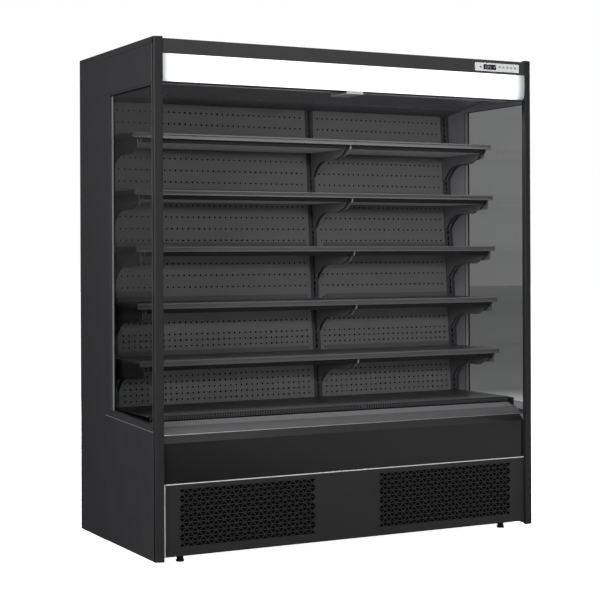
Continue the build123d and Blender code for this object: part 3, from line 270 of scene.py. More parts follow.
def extruded_vinyl(tree, shader, place, colour):
    """Vinyl drawn through a die: dull, with faint lines along its length."""
    # The die's lines are about 0.5 mm apart, drawn 1 mm apart so that they show.
    along = add_node(tree, "Mapping", {"Vector": place, "Scale": (0.6, 900.0, 900.0)})
    lines = add_node(tree, "TexNoise", {"Vector": along.outputs[0], "Scale": 1.0, "Detail": 2.0})
    cloud = add_node(tree, "TexNoise", {"Vector": place, "Scale": 14.0, "Detail": 2.0})
    surface(tree, shader, colour, (0.94, 1.06), cloud.outputs["Fac"], cloud.outputs["Fac"],
            (0.38, 0.52), (lines.outputs["Fac"], 0.12, 0.0003))


def brushed_aluminium(tree, shader, place, colour, roughness=0.3):
    """Drawn and brushed aluminium: fine lines along its length and a soft streaky shine."""
    along = add_node(tree, "Mapping", {"Vector": place, "Scale": (3.0, 700.0, 700.0)})
    lines = add_node(tree, "TexNoise", {"Vector": along.outputs[0], "Scale": 1.0, "Detail": 3.0})
    surface(tree, shader, colour, (0.9, 1.08), lines.outputs["Fac"], lines.outputs["Fac"],
            (roughness - 0.08, roughness + 0.1), fixed={"Metallic": 1.0})


def galvanised_steel(tree, shader, place, colour):
    """Hot-dip zinc on steel: grey crystals about 11 mm across that catch the light in turn."""
    spangle = add_node(tree, "TexVoronoi", {"Vector": place, "Scale": 90.0})
    grey = add_node(tree, "RGBToBW", {"Color": spangle.outputs["Color"]})
    surface(tree, shader, colour, (0.84, 1.14), grey.outputs[0], grey.outputs[0], (0.34, 0.54),
            fixed={"Metallic": 0.9})


def moulded_abs(tree, shader, place, colour, roughness=0.45):
    """ABS moulded in a spark-eroded tool: even colour under a fine grain."""
    grain = add_node(tree, "TexNoise", {"Vector": place, "Scale": 830.0, "Detail": 1.5})
    cloud = add_node(tree, "TexNoise", {"Vector": place, "Scale": 22.0, "Detail": 2.0})
    surface(tree, shader, colour, (0.96, 1.04), cloud.outputs["Fac"], grain.outputs["Fac"],
            (roughness - 0.06, roughness + 0.06), (grain.outputs["Fac"], 0.1, 0.0002))


def opal_acrylic(tree, shader, place, level):
    """Opal acrylic lit from inside: milky white, and dim where the lamps end short of its ends,
    where its grey base paints shade.
    """
    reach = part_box("light_box")[1][0]
    parts = add_node(tree, "SeparateXYZ", {"Vector": place})
    # The lamps' middle is 7 mm left of the cabinet's.
    moved = add_node(tree, "Math", {0: parts.outputs["X"], 1: 0.007}, operation="ADD")
    out = add_node(tree, "Math", {0: moved.outputs[0]}, operation="ABSOLUTE")
    glow = add_node(tree, "MapRange", {
        "Value": out.outputs[0], "From Min": reach - 0.060, "From Max": reach + 0.004,
        "To Min": level, "To Max": level * 0.02}, interpolation_type="SMOOTHSTEP")
    cloud = add_node(tree, "TexNoise", {"Vector": place, "Scale": 6.0, "Detail": 1.0})
    # The acrylic's base is a mid grey, so that its ends, where the glow fades, read grey: painted
    # shade.
    tint = add_node(tree, "Mix", {
        "Factor": cloud.outputs["Fac"], "A": linear("#7B7E80"), "B": linear("#848789")},
        data_type="RGBA")
    feed(shader, {
        "Base Color": tint.outputs["Result"], "Emission Strength": glow.outputs[0],
        "Emission Color": linear("#FFFFFF"), "Roughness": 0.28})


def float_glass(tree, shader, place, colour):
    """Float glass with a grey cast: clear and flat, with the least unevenness in its surface."""
    cloud = add_node(tree, "TexNoise", {"Vector": place, "Scale": 2.0, "Detail": 1.0})
    surface(tree, shader, colour, (0.98, 1.02), cloud.outputs["Fac"], cloud.outputs["Fac"],
            (0.0, 0.01), fixed={"Transmission Weight": 1.0, "IOR": 1.5, "Specular IOR Level": 0.35})


def woven_blind(tree, shader, place, colour):
    """Glass-fibre cloth coated with aluminium: a plain weave with a dull metallic sheen."""
    # Threads are 0.8 mm apart, drawn 2.4 mm apart so that they show.
    threads = {"Vector": place, "Scale": 130.0, "Distortion": 0.2}
    warp = add_node(tree, "TexWave", threads, bands_direction="X")
    weft = add_node(tree, "TexWave", threads, bands_direction="Z")
    weave = add_node(tree, "Math", {
        0: warp.outputs["Fac"], 1: weft.outputs["Fac"]}, operation="MULTIPLY")
    surface(tree, shader, colour, (0.8, 1.1), weave.outputs[0], weave.outputs[0], (0.42, 0.6),
            (weave.outputs[0], 0.3, 0.0003), {"Metallic": 0.5})


def soft_rubber(tree, shader, place, colour):
    """Moulded rubber: black and dull, a little dusty in its pores."""
    pores = add_node(tree, "TexNoise", {"Vector": place, "Scale": 500.0, "Detail": 2.0})
    surface(tree, shader, colour, (0.8, 1.2), pores.outputs["Fac"], pores.outputs["Fac"],
            (0.66, 0.84))


def seamless_paper(tree, shader, place, colour):
    """Paper that the camera sees white; to the part it is grey, and lighter to the right."""
    fibre = add_node(tree, "TexNoise", {"Vector": place, "Scale": 60.0, "Detail": 3.0})
    tint = add_node(tree, "Mix", {
        "Factor": fibre.outputs["Fac"], "A": linear("#F0F0F0"), "B": colour},
        data_type="RGBA")
    feed(shader, {
        "Base Color": tint.outputs["Result"], "Roughness": 0.9, "Specular IOR Level": 0.1,
        "Emission Color": linear("#FFFFFF"), "Emission Strength": 1.0})
    parts = add_node(tree, "SeparateXYZ", {"Vector": place})
    side = add_node(tree, "MapRange", {
        "Value": parts.outputs["X"], "From Min": 0.2, "From Max": 3.4})
    card = add_node(tree, "Mix", {
        "Factor": side.outputs[0], "A": linear("#0A0A0A"), "B": linear("#C8C8C8")},
        data_type="RGBA")
    grey = add_node(tree, "BsdfDiffuse", {"Color": card.outputs["Result"]})
    rays = add_node(tree, "LightPath")
    mix = add_node(tree, "MixShader", {
        0: rays.outputs["Is Camera Ray"], 1: grey.outputs[0], 2: shader.outputs[0]})
    feed(shader.outputs[0].links[0].to_node, {"Surface": mix.outputs[0]})


# powder coats: a colour or the name of a setting, then the roughness and gloss if unusual
POWDER_COATS = {
    # The darker post coat paints shade on the outward sides of the end posts.
    "panel": ("panel",), "post": ("#1B1B1C", 0.52, 0.2), "post_side": ("#0F0F10", 0.52, 0.2),
    "fascia": ("#2A2A2B",), "kick": ("#1E1E1F", 0.45), "shelf": ("shelf", 0.4),
    # The pale coat for the shelf pans stands in for light on the shelves' undersides: painted
    # light.
    "rail": ("#3A3A3B", 0.55, 0.15), "pan": ("#98989A", 0.5), "bracket": ("#515153", 0.4),
    # The lighter coat for the holes' raised rims is a painted highlight.
    "upright": ("#2C2C2E", 0.45), "wall": ("wall", 0.48), "rolled_rim": ("#5A5A5B", 0.4),
    # The end walls' inner faces take a liner coat: lighter on the columns as painted light, darker
    # on the lower panels as painted shade.
    "liner": ("#626265", 0.45), "column": ("#69696C", 0.5), "lower_liner": ("#313133", 0.5),
    # The near-black inside coat serves the deck and base frames, and paints shade on the light
    # box's underside and on the shelf pans' fronts.
    "deck": ("#303031", 0.42), "inside": ("#101010", 0.55, 0.2), "spacer": ("#7C7C7D", 0.4),
# The pale matte coat for the glass spacers stands for their pale metal and also paints the bright
# reflection that metal would show.
}
# name: its maker, a colour or the name of a setting, and what else the maker takes
MATERIALS = {
    **{f"{name}_powder_coat": (powder_coated_steel, *rest) for name, rest in POWDER_COATS.items()},
    # Near-black: the dust filter's colour, and painted shade behind the holes of the rear panels
    # and of the deck lips.
    "duct_inside_paint": (powder_coated_steel, "#050505", 0.7, 0.1),
    # The pale edge coat paints the highlight along the kick panel's edges.
    "edge_lacquer": (powder_coated_steel, "#A4A4A4", 0.35),
    "front_gloss_enamel": (gloss_enamel, "front"),
    "bumper_vinyl": (extruded_vinyl, "bumper"),
    "trim_aluminium": (brushed_aluminium, "#C9C9CB"),
    "dark_anodised_aluminium": (brushed_aluminium, "#2C2C2E", 0.38),
    "coil_aluminium": (brushed_aluminium, "#4A4B4C", 0.5),
    "galvanised_steel": (galvanised_steel, "#9DA0A3"),
    "black_abs": (moulded_abs, "#101011", 0.5),
    "pale_abs": (moulded_abs, "#A9AAAB", 0.4),
    "grip_abs": (moulded_abs, "#8C8C8C", 0.5),
    "key_abs": (moulded_abs, "#8E8E8D", 0.5),
    "mark_abs": (moulded_abs, "#1E1E20", 0.6),
    "segment_abs": (moulded_abs, "#8C8C8C", 0.5),
    "display_lens": (moulded_abs, "#1C1D20", 0.2),
    "opal_acrylic": (opal_acrylic, "light_level"),
    "grey_float_glass": (float_glass, "#E6E7E8"),
    "blind_cloth": (woven_blind, "#B4B6B8"),
    "black_rubber": (soft_rubber, "#0C0C0D"),
    "seamless_paper": (seamless_paper, "#F8F8F8"),
}
MADE = {}

# material: how the names of the CAD nodes that have it start
NODE_MATERIALS = {
    "panel_powder_coat":
        "end_frame end_upper_panel end_lower_panel window_frame rear_wall canopy_roof",
    "post_powder_coat": "end_post",
    "fascia_powder_coat": "fascia",
    "kick_powder_coat": "kick_panel",
    "shelf_powder_coat": "shelf_brackets shelf_left shelf_right",
    "upright_powder_coat": "shelf_uprights",
    "wall_powder_coat": "duct_panel",
    "liner_powder_coat": "ceiling_panel base_tub",
    "deck_powder_coat": "deck_pan return_grille",
    "inside_powder_coat": "deck_frame base_frame",
    "front_gloss_enamel": "front_panel",
    "bumper_vinyl": "bumper",
    "dark_anodised_aluminium": "blind_cassette",
    "coil_aluminium": "condenser_coil evaporator_coil",
    "galvanised_steel": "blind_roller",
    "black_abs": "air_outlet compressor condenser_fan evaporator_fan",
    "pale_abs": "control_panel",
    "grip_abs": "blind_bar",
    "key_abs": "control_key",
    "opal_acrylic": "light_box",
    "grey_float_glass": "side_glass",
    "blind_cloth": "blind_curtain",
    "black_rubber": "foot",
}


def finish(name):
    """A material by its name, made when it is first asked for."""
    if name not in MADE:
        maker, colour, *rest = MATERIALS[name]
        if colour.startswith("#"):
            value = linear(colour)
        else:
            value = getattr(bpy.context.scene.fridge_colours, colour)
        MADE[name], *parts = new_material(name)
        maker(*parts, value, *rest)
    return MADE[name]


def two_tone(obj, name, chosen):
    """Gives the chosen faces of a piece a second finish."""
    obj.data.materials.append(finish(name))
    for face in obj.data.polygons:
        if chosen(face.center, face.normal):
            face.material_index = 1


# ---- sheets and the leaning wall -------------------------------------------------------------
# section of a hole's rolled rim: shares of its width, outward and proud of the sheet
RIM_SECTION = ((0.0, 0.3), (0.35, 0.34), (1.0, 0.0))
HOLE_SIDES = 8


def perforated_sheet(width, height, xs, zs, radius, thickness, rim=0.0):
    """A sheet in X and Z with round holes at every crossing of xs and zs; Y runs into it."""
    margin = 1e-4

    def edges(centres, end):
        inner = [(a + b) / 2 for a, b in zip(centres, centres[1:])]
        reach = (centres[1] - centres[0]) / 2 if inner else 3 * radius
        first = max(centres[0] - reach, margin)
        last = min(centres[-1] + reach, end - margin)
        return [0.0, first] + inner + [last, end]

    columns, rows = edges(xs, width), edges(zs, height)
    rings = [(radius, thickness), (radius, 0.0)]
    if rim:
        rings[1:] = [(radius + rim * out, -rim * proud) for out, proud in RIM_SECTION]
    points, faces = [], []
    for r in range(len(rows) - 1):
        for c in range(len(columns) - 1):
            x0, x1, z0, z1 = columns[c], columns[c + 1], rows[r], rows[r + 1]
            start = len(points)
            holed = 0 < c < len(columns) - 2 and 0 < r < len(rows) - 2
            if not holed:
                points += [(x0, 0, z0), (x1, 0, z0), (x1, 0, z1), (x0, 0, z1)]
                faces.append((start, start + 1, start + 2, start + 3))
                continue
            cx, cz = xs[c - 1], zs[r - 1]
            for reach, depth in rings:
                for k in range(HOLE_SIDES):
                    turn = 2 * pi * k / HOLE_SIDES
                    points.append((cx + reach * cos(turn), depth, cz + reach * sin(turn)))
            cell = ((x1, cz), (x1, z1), (cx, z1), (x0, z1), (x0, cz), (x0, z0), (cx, z0), (x1, z0))
            points += [(x, 0.0, z) for x, z in cell]
            for ring in range(len(rings)):
                a, b = start + ring * HOLE_SIDES, start + (ring + 1) * HOLE_SIDES
                for k in range(HOLE_SIDES):
                    n = (k + 1) % HOLE_SIDES
                    faces.append((a + k, a + n, b + n, b + k))
    return points, faces


def pan_returns(width, height, depth):
    """The four folded edges behind a sheet."""
    corners = [(0, 0), (width, 0), (width, height), (0, height)]
    points = [(x, 0.0, z) for x, z in corners] + [(x, depth, z) for x, z in corners]
    return points, [(i, (i + 1) % 4, (i + 1) % 4 + 4, i + 4) for i in range(4)]


def up_wall(height):
    """Distance along the leaning wall from the deck to a height."""
    return (height - DECK) / cos(WALL_LEAN)


def leaning(x, y, z):
    """From an upright sheet, with the deck at Z 0, to its place in the leaning wall."""
    return (x, WALL_FRONT + y * cos(WALL_LEAN) + z * sin(WALL_LEAN),
            DECK - y * sin(WALL_LEAN) + z * cos(WALL_LEAN))


def tilted(points, low, slope, fall):
    """Lays an upright sheet back from a corner; fall is 1 if its rear is lower, -1 if higher."""
    x0, y0, z0 = low
    return [(x0 + x, y0 + z * cos(slope) + y * sin(slope),
             z0 - fall * (z * sin(slope) - y * cos(slope))) for x, y, z in points]


def spread(low, high, pitch):
    """Even places between two ends, centred, at a pitch."""
    count = int((high - low) / pitch + 1e-6)
    start = (low + high) / 2 - (count - 1) * pitch / 2
    return [start + i * pitch for i in range(count)]


def bracket_split():
    """Place of the bracket plate that carries the left end of the right bay."""
    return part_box("shelf_right_1")[0][0] + SPLIT_PLATE


def bracket_outer():
    """Place of the outermost bracket plate, in the middle of the outer upright."""
    return (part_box("duct_panel_right")[1][0] + INNER_FACE) / 2


# ---- operators -------------------------------------------------------------------------------
class FRIDGE_OT_finishes(bpy.types.Operator):
    """Gives every sheet, profile and casting its finish"""
    bl_idname = "fridge.finishes"
    bl_label = "Finishes"

    TRIM = 0.0022               # height of the bright strip under the bumper
    RAIL = 0.0062               # thickness of a shelf's ticket rail
    LENS = (0.042, 0.064, 0.0115)       # plate's end to the lens, its width, half its height
    SKIN = 0.0005               # how far a face may lie from the inner side of an end wall
    FACE = 0.0015               # and how far from the front of the control plate

    def execute(self, context):
        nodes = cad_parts
        for name, obj in nodes.items():
            found = [key for key, starts in NODE_MATERIALS.items()
                     if name.startswith(tuple(starts.split()))]
            if not found:
                raise RuntimeError(f"no finish for {name}")
            obj.data.materials.clear()
            obj.data.materials.append(finish(found[0]))
            for face in obj.data.polygons:
                face.material_index = 0
        trim_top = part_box("front_panel")[1][2] + self.TRIM
        two_tone(nodes["bumper"], "trim_aluminium", lambda c, n: c.z < trim_top)
        two_tone(nodes["control_panel"], "display_lens", self.on_lens)
        # The light box's underside gets the near-black coat: painted shade.
        two_tone(nodes["light_box"], "inside_powder_coat", lambda c, n: n.z < -0.9)
        # The outward side of each end post gets a darker copy of the post's coat: painted shade.
        for side, sign in SIGNS.items():
            two_tone(nodes[f"end_post_{side}"], "post_side_powder_coat",
                     lambda c, n: n.x * sign > 0.9)
        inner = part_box("end_frame_right")[0][0] + self.SKIN
        for name, obj in nodes.items():
            if name.startswith(("shelf_left", "shelf_right")):
                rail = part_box(name)[0][1] + self.RAIL
                two_tone(obj, "rail_powder_coat", lambda c, n: c.y < rail)
            if name.startswith(("end_frame", "end_upper", "end_lower", "window_frame")):
                # Inner faces: the lighter column coat paints light, the darker lower-panel coat
                # paints shade.
                inside = "lower_liner" if name.startswith("end_lower") else "column"
                two_tone(obj, inside + "_powder_coat", lambda c, n: abs(c.x) < inner)
        return {"FINISHED"}

    def on_lens(self, centre, normal):
        """The display's lens is the dark window in the plate's face."""
        low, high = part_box("control_panel")
        start, width, half = self.LENS
        return (0 < centre.x - low[0] - start < width
                and abs(centre.z - (low[2] + high[2]) / 2) < half
                and normal.y < -0.5 and centre.y < low[1] + self.FACE)


class FRIDGE_OT_perforated_wall(bpy.types.Operator):
    """Makes the perforated panels of the leaning wall"""
    bl_idname = "fridge.perforated_wall"
    bl_label = "Perforated Wall"

    # number of rows, height of the first and distance down to the next
    UPPER_ROWS = (19, 1.7767, 0.0492)
    LOWER_ROWS = (12, 0.8423, 0.0246)
    JOINT = 0.8535              # height of the joint between the two panels
    MARGIN = 0.008              # panel's edge to its first cell of holes
    RETURN = 0.015              # depth of its folded edges
    SHROUD = (0.0034, 0.0044)   # front and back of the dark sheet behind the holes, a painted shade for the duct

    def execute(self, context):
        sizes = context.scene.fridge_sizes
        joint, top = up_wall(self.JOINT), up_wall(CEILING_AT_WALL)
        pans = ((SPLIT_GAP, joint - SPLIT_GAP, self.LOWER_ROWS),
                (joint, top - SHEET, self.UPPER_ROWS))
        facing = Vector((0, -cos(WALL_LEAN), sin(WALL_LEAN)))
        for bay in SIGNS:
            low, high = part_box(f"duct_panel_{bay}")
            width = high[0] - low[0]
            xs = spread(self.MARGIN, width - self.MARGIN, sizes.hole_pitch)
            parts = []
            for start, end, (count, first, drop) in pans:
                zs = sorted(up_wall(first - k * drop) - start for k in range(count))
                points, faces = joined([
                    perforated_sheet(width, end - start, xs, zs, sizes.hole_diameter / 2, SHEET,
                                     sizes.hole_rim),
                    pan_returns(width, end - start, self.RETURN)])
                parts.append(([leaning(low[0] + x, y, z + start) for x, y, z in points], faces))
            # A near-black sheet just behind the holes stands in for the shade inside the duct:
            # painted shade.
            front, back = self.SHROUD
            points, faces = box_points(
                (SHEET, front, SHEET), (width - SHEET, back, top - 2 * SHEET))
            shade_sheet = ([leaning(low[0] + x, y, z) for x, y, z in points], faces)
            mesh_piece(f"duct_shroud_{bay}", [shade_sheet], "duct_inside_paint", CABINET)
            piece = mesh_piece(
                f"perforated_panel_{bay}", parts, "wall_powder_coat", CABINET)
            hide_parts(f"duct_panel_{bay}")
            # The raised rims round the holes get a lighter copy of the wall's coat: a painted
            # highlight.
            two_tone(piece, "rolled_rim_powder_coat",
                     lambda c, n: 0.4 < abs(n.dot(facing)) < 0.985)
        return {"FINISHED"}


class FRIDGE_OT_uprights(bpy.types.Operator):
    """Makes the slotted uprights that the shelves hang on"""
    bl_idname = "fridge.uprights"
    bl_label = "Shelf Uprights"

    FIRST_SLOT = 0.732          # upper end of the slot under the lowest shelf
    SLOT = (0.008, 0.0165)      # width and height
    DEPTH = 0.026
    FOOT = 0.382                # height of the lower end
    TOP_GAP = 0.0005            # to the ceiling

    def execute(self, context):
        low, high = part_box("shelf_uprights")
        pitch = context.scene.fridge_sizes.slot_pitch
        left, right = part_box("duct_panel_left")[1][0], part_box("duct_panel_right")[0][0]
        width = right - left - 2 * SPLIT_GAP
        places = (low[0] + width / 2, (left + right) / 2, high[0] - width / 2)
        parts = [self.upright(x - width / 2, width, pitch) for x in places]
        piece = mesh_piece(
            "slotted_uprights", parts, "upright_powder_coat", CABINET)
        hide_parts("shelf_uprights")
        return {"FINISHED"}

    def upright(self, left, width, pitch):
        """A channel whose face has a column of slots."""
        wide, tall = self.SLOT
        start, first = up_wall(self.FOOT), up_wall(self.FIRST_SLOT)
        end = up_wall(CEILING_AT_WALL) - self.TOP_GAP
        below, above = int((first - start) / pitch), int((end - first) / pitch)
        tops = [first + i * pitch for i in range(1 - below, above + 1)]
        xs = [0.0, width / 2 - wide / 2, width / 2 + wide / 2, width]
        zs = [start] + [z for top in tops for z in (top - tall, top)] + [end]
        points, faces = [], []
        for i, (z0, z1) in enumerate(zip(zs, zs[1:])):
            for j, (x0, x1) in enumerate(zip(xs, xs[1:])):
                corners = [(x0, z0), (x1, z0), (x1, z1), (x0, z1)]
                a = len(points)
                points += [leaning(left + x, 0.0, z) for x, z in corners]
                if i % 2 == 1 and j == 1:
                    points += [leaning(left + x, SHEET, z) for x, z in corners]
                    faces += [(a + k, a + (k + 1) % 4, a + 4 + (k + 1) % 4, a + 4 + k)
                              for k in range(4)]
                else:
                    faces.append((a, a + 1, a + 2, a + 3))
        for x in (0.0, width):
            a = len(points)
            section = ((0, start), (self.DEPTH, start), (self.DEPTH, end), (0, end))
            points += [leaning(left + x, y, z) for y, z in section]
            faces.append((a, a + 1, a + 2, a + 3))
        return points, faces


class FRIDGE_OT_brackets(bpy.types.Operator):
    """Makes the hooked brackets that carry the shelves"""
    bl_idname = "fridge.brackets"
    bl_label = "Shelf Brackets"

    # Y from the wall's face and Z from the shelf's top, both in millimetres
    TOP = -20.2                 # just under the shelf's tray
    SLANTED = ((-330, TOP), (-284, -61))
    LONGER = ((-334.5, TOP), (-300, -61.5))
    NOSED = ((-334.5, TOP), (-334.5, -50), (-332.5, -56), (-327, -60.5), (-262, -62))
    ARM = (
        (-225, -77), (-140, -76.5), (-112, -78.5), (-92, -83.5), (-73, -91.5), (-56, -102),
        (-40, -116), (-24, -134), (-20, -140))
    HEEL = -141                 # lower end on the upright
    WALL_GAP = 0.5
    PLATE = 0.0022              # thickness, in metres

    def execute(self, context):
        outer, split = bracket_outer(), bracket_split()
        places = (
            (-outer, self.NOSED), (BRACKET_GAP - outer, self.SLANTED),
            (split - BRACKET_GAP, self.SLANTED), (split, self.LONGER),
            (outer - BRACKET_GAP, self.SLANTED), (outer, self.NOSED))
        parts = []
        for level in LEVELS:
            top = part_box(f"shelf_left_{level}")[1][2] - UPSTAND
            parts += [self.plate(x, front, top) for x, front in places]
        piece = mesh_piece(
            "hooked_brackets", parts, "bracket_powder_coat", CABINET)
        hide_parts("shelf_brackets")
        return {"FINISHED"}

    def plate(self, x, front, top):
        """One plate: its front end, the arm that curves down, and the heel on the upright."""
        lean = tan(WALL_LEAN)
        wall = WALL_FRONT + (top - DECK) * lean
        rear = [(z * lean - self.WALL_GAP, z) for z in (self.HEEL, self.TOP)]
        section = [(wall + y * 0.001, top + z * 0.001) for y, z in (*front, *self.ARM, *rear)]
        return prism_x(section, x - self.PLATE / 2, x + self.PLATE / 2)


class FRIDGE_OT_shelf_pans(bpy.types.Operator):
    """Closes each shelf from below with a pan that has a sloping front"""
    bl_idname = "fridge.shelf_pans"
    bl_label = "Shelf Pans"

    DEPTH = 0.0375              # shelf's top to the pan's underside
    CLEAR = 0.0015              # pan's end to the plate of the bracket beside it
    TRAY_GAP = 0.0002           # pan's upper edge to the tray
    # Y from the shelf's front edge, and height above the pan's underside
    BACK = 0.0068               # behind the ticket rail
    FOLD = ((0.0108, 0.001), (0.0123, 0.0))
    REAR = (0.006, 0.002)       # shelf's rear edge to the pan's foot and to its upper edge

    def execute(self, context):
        for bay in SIGNS:
            for level in LEVELS:
                name = f"shelf_{bay}_{level}"
                low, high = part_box(name)
                foot, top = high[2] - UPSTAND - self.DEPTH, low[2] - self.TRAY_GAP
                rear_foot, rear_top = self.REAR
                section = [
                    (low[1] + self.BACK, top), *[(low[1] + y, foot + z) for y, z in self.FOLD],
                    (high[1] - rear_foot, foot), (high[1] - rear_top, top)]
                pan = prism_x(section, *self.ends(bay))
                # The pan's pale coat is painted light on the shelf's underside.
                piece = mesh_piece(
                    f"shelf_pan_{bay}_{level}", [pan], "pan_powder_coat", name)
                # The pan's front faces, under the ticket rail, get the near-black coat: painted
                # shade.
                two_tone(piece, "inside_powder_coat", lambda c, n: n.y < -0.5)
        return {"FINISHED"}

    def ends(self, bay):
        """Between the brackets that carry the bay."""
        outer = bracket_outer() - BRACKET_GAP - self.CLEAR
        if bay == "left":
            return (-outer, bracket_split() - BRACKET_GAP - self.CLEAR)
        return (bracket_split() + self.CLEAR, outer)


class FRIDGE_OT_kick_grille(bpy.types.Operator):
    """Makes the kick panel with its two fine fields of punched triangles"""
    bl_idname = "fridge.kick_grille"
    bl_label = "Kick Grille"

    FIELDS = ((-0.771, -0.174), (0.110, 0.771))
    FIELD_LOW = 0.062
    FIELD_HIGH = 0.283
    ROWS = 12
    TOP_RETURN = 0.0045         # the upper fold goes this deep
    FILTER = (0.018, 0.020)     # front and back of the dust filter behind the panel's face
    FILTER_OVERLAP = 0.008
    TRIM = 0.003                # height of the strip along the top
    TRIM_FRONT = 0.0016         # proud of the face
    TRIM_BEVEL = 0.0009
    EDGE = 0.0008               # thickness of the strip down the left side, and overlap at the top
    EDGE_WIDTH = 0.0106         # of which the end post leaves a thin line in sight

    def execute(self, context):
        low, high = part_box("kick_panel")
        face = low[1]
        parts = []
        edges = [low[0], *[x for field in self.FIELDS for x in field], high[0]]
        for i, (x0, x1) in enumerate(zip(edges, edges[1:])):
            spans = ((low[2], high[2]),)
            if i % 2:
                spans = ((low[2], self.FIELD_LOW), (self.FIELD_HIGH, high[2]))
            parts += [box_points((x0, face, z0), (x1, face + SHEET, z1)) for z0, z1 in spans]
        parts += [self.lattice(context.scene.fridge_sizes, *field, face) for field in self.FIELDS]
        for z, rear in ((low[2], high[1]), (high[2] - SHEET, face + self.TOP_RETURN)):
            parts.append(box_points((low[0], face + SHEET, z), (high[0], rear, z + SHEET)))
        piece = mesh_piece(
            "kick_panel_face", parts, "kick_powder_coat", "kick_panel")
        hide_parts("kick_panel")
        front, back = self.FILTER
        nets = [
            box_points((left, face + front, self.FIELD_LOW - self.FILTER_OVERLAP),
                       (right, face + back, self.FIELD_HIGH + self.FILTER_OVERLAP))
            for left, right in self.FIELDS]
        mesh_piece("dust_filter", nets, "duct_inside_paint", "kick_panel")
        # The pale strips along the kick panel's top and left side paint the highlight on those
        # edges.
        foot = high[2] - self.EDGE
        top, front = foot + self.TRIM, face - self.TRIM_FRONT
        section = [(front, foot), (face + self.TRIM, foot), (face + self.TRIM, top),
                   (front + self.TRIM_BEVEL, top)]
        strips = [
            prism_x(section, low[0], high[0]),
            box_points((low[0], face - self.EDGE, low[2]), (low[0] + self.EDGE_WIDTH, face, foot))]
        mesh_piece("kick_panel_edge", strips, "edge_lacquer", "kick_panel")
        return {"FINISHED"}

    def lattice(self, sizes, left, right, face):
        """Triangles point up and down in turn, and an even web is left between them."""
        row = (self.FIELD_HIGH - self.FIELD_LOW) / self.ROWS
        columns = int((right - left) / (sizes.triangle_base / 2)) - 1
        base = 2 * (right - left) / (columns + 1)
        side = sqrt((base / 2) ** 2 + row ** 2)
        inset = row * base / (base + 2 * side)
        shrink = 1 - sizes.triangle_web / 2 / inset
        points, faces = [], []
        for r in range(self.ROWS):
            z = self.FIELD_LOW + r * row
            for c in range(columns):
                x = left + (c + 1) * base / 2
                if (r + c) % 2 == 0:
                    cell = [(x - base / 2, z), (x + base / 2, z), (x, z + row)]
                    middle = (x, z + inset)
                else:
                    cell = [(x + base / 2, z + row), (x - base / 2, z + row), (x, z)]
                    middle = (x, z + row - inset)
                self.cell(points, faces, cell, middle, shrink, face)
            for edge, reach, level in ((left, base / 2, r), (right, -base / 2, r + columns - 1)):
                near, far = (z + row, z) if level % 2 == 0 else (z, z + row)
                start = len(points)
                points += [(edge, face, near), (edge, face, far), (edge + reach, face, near)]
                faces.append((start, start + 1, start + 2))
        return points, faces

    def cell(self, points, faces, cell, middle, shrink, face):
        """Adds the web of one triangle and the walls of its hole."""
        hole = [(middle[0] + (x - middle[0]) * shrink, middle[1] + (z - middle[1]) * shrink)
                for x, z in cell]
        start = len(points)
        points += [(x, face, z) for x, z in cell] + [(x, face, z) for x, z in hole]
        points += [(x, face + SHEET, z) for x, z in hole]
        for k in range(3):
            n = (k + 1) % 3
            faces.append((start + k, start + n, start + 3 + n, start + 3 + k))
            faces.append((start + 3 + k, start + 3 + n, start + 6 + n, start + 6 + k))


class FRIDGE_OT_ceiling(bpy.types.Operator):
    """Makes the sloping ceiling with its row of holes"""
    bl_idname = "fridge.ceiling"
    bl_label = "Ceiling"

    HOLE_ROW = 0.070            # distance of the row from the middle of the cabinet's depth
    MARGIN = 0.02               # ceiling's end to its first cell of holes
    SLOPE = radians(7.9)

    def execute(self, context):
        sizes = context.scene.fridge_sizes
        low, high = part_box("ceiling_panel")
        width = high[0] - low[0]
        length = (high[1] - low[1]) / cos(self.SLOPE)
        row = (self.HOLE_ROW - low[1]) / cos(self.SLOPE)
        xs = spread(self.MARGIN, width - self.MARGIN, sizes.hole_pitch)
        points, faces = perforated_sheet(
            width, length, xs, [row], sizes.hole_diameter / 2, SHEET)
        front = low[2] + (high[1] - low[1]) * tan(self.SLOPE)
        placed = tilted(points, (low[0], low[1], front), self.SLOPE, 1)
        lip = box_points((low[0], low[1], front), (high[0], low[1] + SHEET, high[2]))
        piece = mesh_piece("ceiling_sheet", [(placed, faces), lip], "liner_powder_coat", CABINET)
        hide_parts("ceiling_panel")
        return {"FINISHED"}


